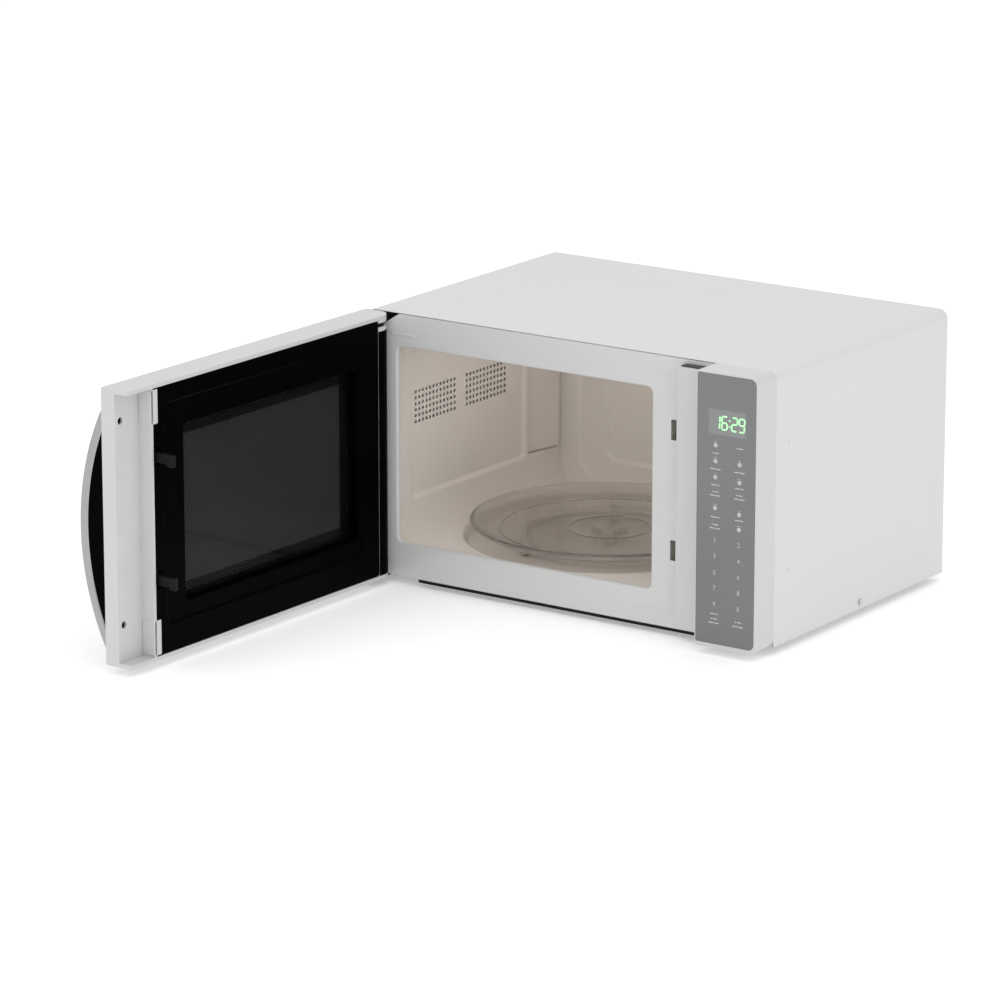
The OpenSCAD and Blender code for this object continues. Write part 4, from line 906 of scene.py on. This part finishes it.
bm = bmesh.new()
for column, heights in BAR_Z.items():
    for i, z in enumerate(heights):
        half = 3.6 + 1.1 * ((i * 5) % 3)
        cut = (i % 3 - 1) * 1.3
        for lo, hi in ((-half, cut - BAR_GAP), (cut + BAR_GAP, half)):
            bar(bm, (column + lo, z - BAR_HALF_T), (column + hi, z + BAR_HALF_T))
for column, heights in ICON_Z.items():
    for i, z in enumerate(heights):
        ring = disc(bm, "front", (column, z), RING_R, at=PRINT_Y, sides=16)
        backed(bm, ring)
        press(bm, ring, [(0.02, PRINT_T), (0.55, 0), (0.02, -PRINT_T + 0.01)])
        for k in range(2 + i % 2):
            u = (k - 0.5 * (1 + i % 2)) * 1.7
            bar(bm, (column + u - 0.3, z + 2.9), (column + u + 0.3, z + 4.1))
finish_piece(bm, "panel_symbols", CASE, "cabinet", "mirror_glass", finish="ink")

FIGURE_SIZE = 6.6
bm = bmesh.new()
for column, heights in FIGURE_Z.items():
    for figure, z in zip(FIGURES[column], heights):
        curve = bpy.data.curves.new("figure", "FONT")
        curve.body, curve.size, curve.extrude = figure, FIGURE_SIZE, PRINT_T / 2
        curve.align_x, curve.align_y, curve.resolution_u = "CENTER", "CENTER", 2
        holder = bpy.data.objects.new("figure", curve)
        mesh = holder.to_mesh()
        upright = Matrix.Rotation(pi / 2, 4, "X")
        mesh.transform(Matrix.Translation((column, PRINT_Y - PRINT_T / 2, z)) @ upright)
        bm.from_mesh(mesh)
        bpy.data.objects.remove(holder)
        bpy.data.curves.remove(curve)
finish_piece(bm, "panel_figures", CASE, "cabinet", "mirror_glass", finish="ink")

# %% [markdown]
# ## The inner side of the door
#
# A black moulded cover closes the door's choke, the hollow frame that keeps the microwaves in. It has a
# broad step, a deep opening for the screen and two slots for the latch hooks. It is open right
# through, so its front and its back face both get the same islands, and the walls between them weld
# when the doubles are merged. The door is drawn shut here, with the cover's face towards the oven.

# %% Choke cover
cover_lo, cover_hi = extent("choke_cover", DOOR)
COVER_BACK, COVER_FACE = -cover_lo.y, -cover_hi.y
COVER_T = COVER_BACK - COVER_FACE
HOOKS_X, HOOKS_BELOW, HOOKS_ABOVE = (365.8, 371.8), 7, 11
COVER_STEP = (50, 32), (358.3, 252)
SCREEN_OPENING = (56.6, 48.6), (328.4, 225.4)
PAD_X, PAD_HEIGHTS = (367.2, 377.5), ((233.5, 267.0), (6.0, 40.5))

bm = bmesh.new()
face = oblong(bm, "front", (cover_lo.x, cover_lo.z), (cover_hi.x, cover_hi.z), 4, at=COVER_BACK)
back = backed(bm, face)
press(bm, face, [(0, COVER_T - sum(rise for _, rise in SOFT_EDGE)), *SOFT_EDGE])
step = oblong(bm, "front", *COVER_STEP, 12, at=COVER_FACE, steps=8)
slots = [
    oblong(bm, "front", (HOOKS_X[0], z - HOOKS_BELOW), (HOOKS_X[1], z + HOOKS_ABOVE), 0.8, at=COVER_FACE)
    for z in LATCH_Z
]
open_up(bm, face, [step, *slots])
press(bm, step, [(0.5, -0.15), (0.9, -0.6), (0.9, -0.6), (0.5, -0.15)])
lip = oblong(bm, "front", *SCREEN_OPENING, 7, at=step.verts[0].co.y, steps=6)
open_up(bm, step, [lip])
press(bm, lip, [(0.3, -0.2), (0.6, -0.7)])
through = [*slots, lip]
for hole in through:
    press(bm, hole, [(0, hole.verts[0].co.y - COVER_BACK)])
ends = [backed(bm, hole) for hole in through]
open_up(bm, back, ends)
cut_away(bm, [*through, *ends])
bmesh.ops.scale(bm, vec=(1, -1, 1), verts=bm.verts)
finish_piece(bm, "door_choke_cover", DOOR, "door", "black_plastic", ["choke_cover"])

bm = bmesh.new()
for z0, z1 in PAD_HEIGHTS:
    mould(bm, "front", (PAD_X[0], z0), (PAD_X[1], z1), 0.8, 15.5, 14.8, [(0.2, 0.2), (0.3, 0.1)])
bmesh.ops.scale(bm, vec=(1, -1, 1), verts=bm.verts)
finish_piece(bm, "door_corner_pads", DOOR, "door", "white_plastic")

# %% [markdown]
# ## Painted shade at the hinge
#
# Beside the hinge, the edge of the door is dark where the open door shows it, because it lies in the
# shade of the narrow gap there. A thin black sheet is painted shade for that dark. It starts as a flat
# strip behind the cover, and its free side is spun part of a turn about the hinge pins, so that it keeps
# its distance from the cabinet as the door turns. It stops below the upper hinge, which it would meet
# when the door is shut.

# %% Black sheet of painted shade round the hinge side
BARREL_R, SHADE_SHEET_T, BARREL_GAP, SHADE_SHEET_TOP = 16.3, 0.28, 0.02, 257.0
SHADE_SHEET_ARC = radians(52)
barrel = DOOR.inverted() @ Vector(hinge["pos_m"])

bm = bmesh.new()
strip = oblong(
    bm, "front", (barrel.x, cover_lo.z), (cover_lo.x + 0.3, SHADE_SHEET_TOP), at=barrel.y + BARREL_R + BARREL_GAP
)
start = [e for e in strip.edges if all(abs(v.co.x - barrel.x) < 0.01 for v in e.verts)]
bmesh.ops.spin(
    bm, geom=[*start[0].verts, *start], cent=(barrel.x, barrel.y, 0), axis=(0, 0, 1), angle=SHADE_SHEET_ARC,
    steps=10, use_merge=False, use_duplicate=False,
)
bmesh.ops.remove_doubles(bm, verts=bm.verts, dist=0.002)
bmesh.ops.recalc_face_normals(bm, faces=bm.faces)
if strip.normal.y < 0:
    bmesh.ops.reverse_faces(bm, faces=bm.faces)
bmesh.ops.solidify(bm, geom=[*bm.faces], thickness=-SHADE_SHEET_T)
finish_piece(bm, "hinge_gap_shade_sheet", DOOR, "door", "black_plastic")

# %% [markdown]
# ## The handle
#
# The handle is a chromed bow with a soft rectangular section, standing off the door's outer face. A
# spin about the bow's own centre draws it in one step. Its ends run into the door, so they are cut off
# flush with a bisect and filled.

# %% Chrome bow
bow_lo, bow_hi = extent("handle_bow", DOOR)
DOOR_FACE = -34.0
BOW_T, BOW_CORNER_R, BOW_SPAN = 12.0, 4.2, bow_hi.z - bow_lo.z
BOW_OUT = DOOR_FACE - bow_lo.y
BOW_R = (BOW_SPAN**2 / 4 + BOW_OUT**2) / (2 * BOW_OUT)
bow_centre = Vector((0, bow_lo.y + BOW_R, (bow_lo.z + bow_hi.z) / 2))
reach = degrees(BOW_SPAN / 2 / BOW_R) + 2

bm = bmesh.new()
section = oblong(
    bm, "top", (bow_lo.x, bow_lo.y), (bow_hi.x, bow_lo.y + BOW_T), BOW_CORNER_R, at=bow_centre.z, steps=6
)
bmesh.ops.rotate(
    bm, cent=bow_centre, matrix=Matrix.Rotation(radians(reach), 3, "X"), verts=section.verts
)
bmesh.ops.spin(
    bm, geom=[section], cent=bow_centre, axis=(1, 0, 0), angle=-radians(2 * reach), steps=56,
    use_merge=False, use_duplicate=False,
)
bmesh.ops.bisect_plane(
    bm, geom=[*bm.verts, *bm.edges, *bm.faces], plane_co=(0, DOOR_FACE - 0.02, 0), plane_no=(0, 1, 0),
    clear_outer=True,
)
bmesh.ops.holes_fill(bm, edges=[e for e in bm.edges if e.is_boundary])
finish_piece(bm, "handle_chrome_bow", DOOR, "door", "chrome", ["handle_bow"])

# %% [markdown]
# ## The glass tray
#
# The tray is pressed glass: a flat bottom, a rim that curls up and outwards, and two low ribs that
# stiffen it. It is round, so a profile is drawn from the centre to the rim and back and spun once
# round.

# %% Glass tray
Z0, GLASS_T = tray_lo.z, 4.0
R = TRAY_R
PROFILE = [
    (0, 0), (R - 30, 0), (R - 22, 0.6), (R - 12, 4.0), (R - 4, 8.6), (R - 0.4, 12.0), (R, 13.2),
    (R - 0.3, 14.1), (R - 1.1, 14.5), (R - 2.6, 14.3), (R - 5.2, 12.4), (R - 9, 9.6), (R - 16, 6.3),
    (R - 24, 4.6), (R - 29, GLASS_T + 0.1), (R - 30, GLASS_T + 0.9), (R - 31.5, GLASS_T + 0.9),
    (R - 33, GLASS_T), (44, GLASS_T), (43, GLASS_T + 0.8), (41.4, GLASS_T + 0.8), (40.4, GLASS_T),
    (0, GLASS_T),
]
bm = bmesh.new()
rim = [bm.verts.new((TRAY_X + r, TRAY_Y, Z0 + z)) for r, z in PROFILE]
line = [bm.edges.new(pair) for pair in zip(rim, rim[1:])]
bmesh.ops.spin(
    bm, geom=[*rim, *line], cent=(TRAY_X, TRAY_Y, 0), axis=(0, 0, 1), angle=2 * pi, steps=96,
    use_merge=True, use_duplicate=False,
)
finish_piece(bm, "tray_pressed_glass", CASE, "turntable", "tray_glass", ["glass_tray"], sharp=50)

# %% [markdown]
# ## Softening the plain CAD pieces
#
# The CAD model's edges are mathematically sharp, and a real edge never is: it always catches a thin
# line of light. The other pieces keep their CAD shape, so a copy of each is welded, its flat areas are
# joined into single faces, and every corner sharper than thirty five degrees is bevelled a little.

# %% Bevelled copies of the visible CAD nodes
BODY_OF = {node: body_of(obj) for node, obj in frame["nodes"].items()}


def softened(node, width):
    bm = bmesh.new()
    bm.from_mesh(frame["nodes"][node].data)
    bm.transform(CASE.inverted())
    bmesh.ops.remove_doubles(bm, verts=bm.verts, dist=0.001)
    bmesh.ops.dissolve_limit(bm, angle_limit=radians(1.0), verts=bm.verts, edges=bm.edges)
    corners = [e for e in bm.edges if len(e.link_faces) == 2 and e.calc_face_angle(0.0) > radians(35)]
    if width:
        bmesh.ops.bevel(
            bm, geom=corners, offset=width, offset_type="OFFSET", affect="EDGES", segments=2, profile=0.5,
            material=-1, clamp_overlap=True,
        )
    body = BODY_OF[node]
    body = body if isinstance(body, str) else body[0]
    return finish_piece(bm, "soft_" + node, CASE, body, node_slot[node], [node])


SOFT = {
    "door_frame": 0.5, "latch_hooks": 0.3, "feet": 0.6, "hinge_upper": 0.3, "hinge_lower": 0.4,
    "handle_core": 0.3, "door_glass": 0.3, "rear_plate": 0.15, "base_plate": 0.2, "case_screws": 0.2,
    "roller_ring": 0.3, "drive_coupler": 0.4,
}
for node, width in SOFT.items():
    softened(node, width)

# %% [markdown]
# ## The latch spring
#
# The spring sits on the latch bar and pushes it down. When the bar lifts by its travel, the spring gets
# shorter by as much, while its top end stays against its stop. Here it is a welded copy of its CAD node,
# with no bevel and a mesh of its own.

# %% Latch spring
spring_lo, spring_hi = extent("latch_spring", DOOR)
spring = softened("latch_spring", 0.0)
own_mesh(spring)

# %% [markdown]
# ## Studio: floor, light and camera
#
# The oven stands on a plain pale floor in a bright, even room. A white world fills the shadows, and
# large soft area lights from above, from the right and from the front shape the panels. A small warm
# one under the cavity's ceiling stands for the oven's own lamp. The floor glows a little, so that it
# stays white. The camera is a long lens from well in front, as catalogue views are, so the oven's
# edges stay nearly parallel.

# %% Floor
bm = bmesh.new()
bmesh.ops.create_grid(bm, x_segments=2, y_segments=2, size=30.0)
mesh = bpy.data.meshes.new("floor")
bm.to_mesh(mesh)
bm.free()
floor = bpy.data.objects.new("floor", mesh)
bpy.context.scene.collection.objects.link(floor)
paper = Finish("floor_paper", Specular_IOR_Level=0.0, Emission_Color=(1.0, 1.0, 1.0), Emission_Strength=0.24)
paper.set("Base Color", paper.blend(paper.noise(3.0), (0.93, 0.93, 0.93), (0.95, 0.95, 0.95)))
paper.set("Roughness", 0.9 + paper.noise(40.0) * 0.05)
mesh.materials.append(paper.material)

# %% Light
scene = bpy.context.scene
scene.world = bpy.data.worlds.new("studio")
scene.world.use_nodes = True
sky = scene.world.node_tree.nodes["Background"]
sky.inputs["Color"].default_value = (1.0, 1.0, 1.0, 1.0)
sky.inputs["Strength"].default_value = 0.85
scene.view_settings.view_transform = "Standard"
scene.view_settings.look = "None"


def soft_light(name, spot, aim, size, watts, tint=(1.0, 1.0, 1.0)):
    lamp = bpy.data.lights.new(name, "AREA")
    lamp.shape, lamp.size, lamp.size_y, lamp.energy, lamp.color = "RECTANGLE", *size, watts, tint
    holder = bpy.data.objects.new(name, lamp)
    holder.location = spot
    holder.rotation_euler = (Vector(aim) - Vector(spot)).to_track_quat("-Z", "Y").to_euler()
    holder.visible_camera = holder.visible_glossy = False
    scene.collection.objects.link(holder)


soft_light("overhead", (0.2, -0.3, 2.2), (0, 0, 0.2), (2.4, 2.4), 12)
soft_light("from_right", (2.6, -0.4, 1.2), (0, 0, 0.15), (1.6, 1.6), 1.5)
soft_light("from_front", (0.3, -2.8, 1.3), (0, 0, 0.15), (1.8, 1.4), 4)
cavity_top = CASE @ Vector((TRAY_X, TRAY_Y, CEILING_Z - 3))
soft_light("oven_lamp", cavity_top, cavity_top - Vector((0, 0, 1)), (0.26, 0.24), 0.13, (1.0, 0.93, 0.86))

# %% Camera
camera = bpy.data.objects.new("camera", bpy.data.cameras.new("camera"))
camera.location = (2.7615, -4.2617, 1.4465)
camera.rotation_euler = (radians(74.96), 0.0, radians(34.716))
camera.data.lens, camera.data.sensor_width = 187.2, 36.0
scene.collection.objects.link(camera)
scene.camera = camera

# %% [markdown]
# ## Last update
#
# The last line brings the scene's view layer up to date. The visual model has to stay inside the
# CAD model's box.

# %% Update the view layer
bpy.context.view_layer.update()
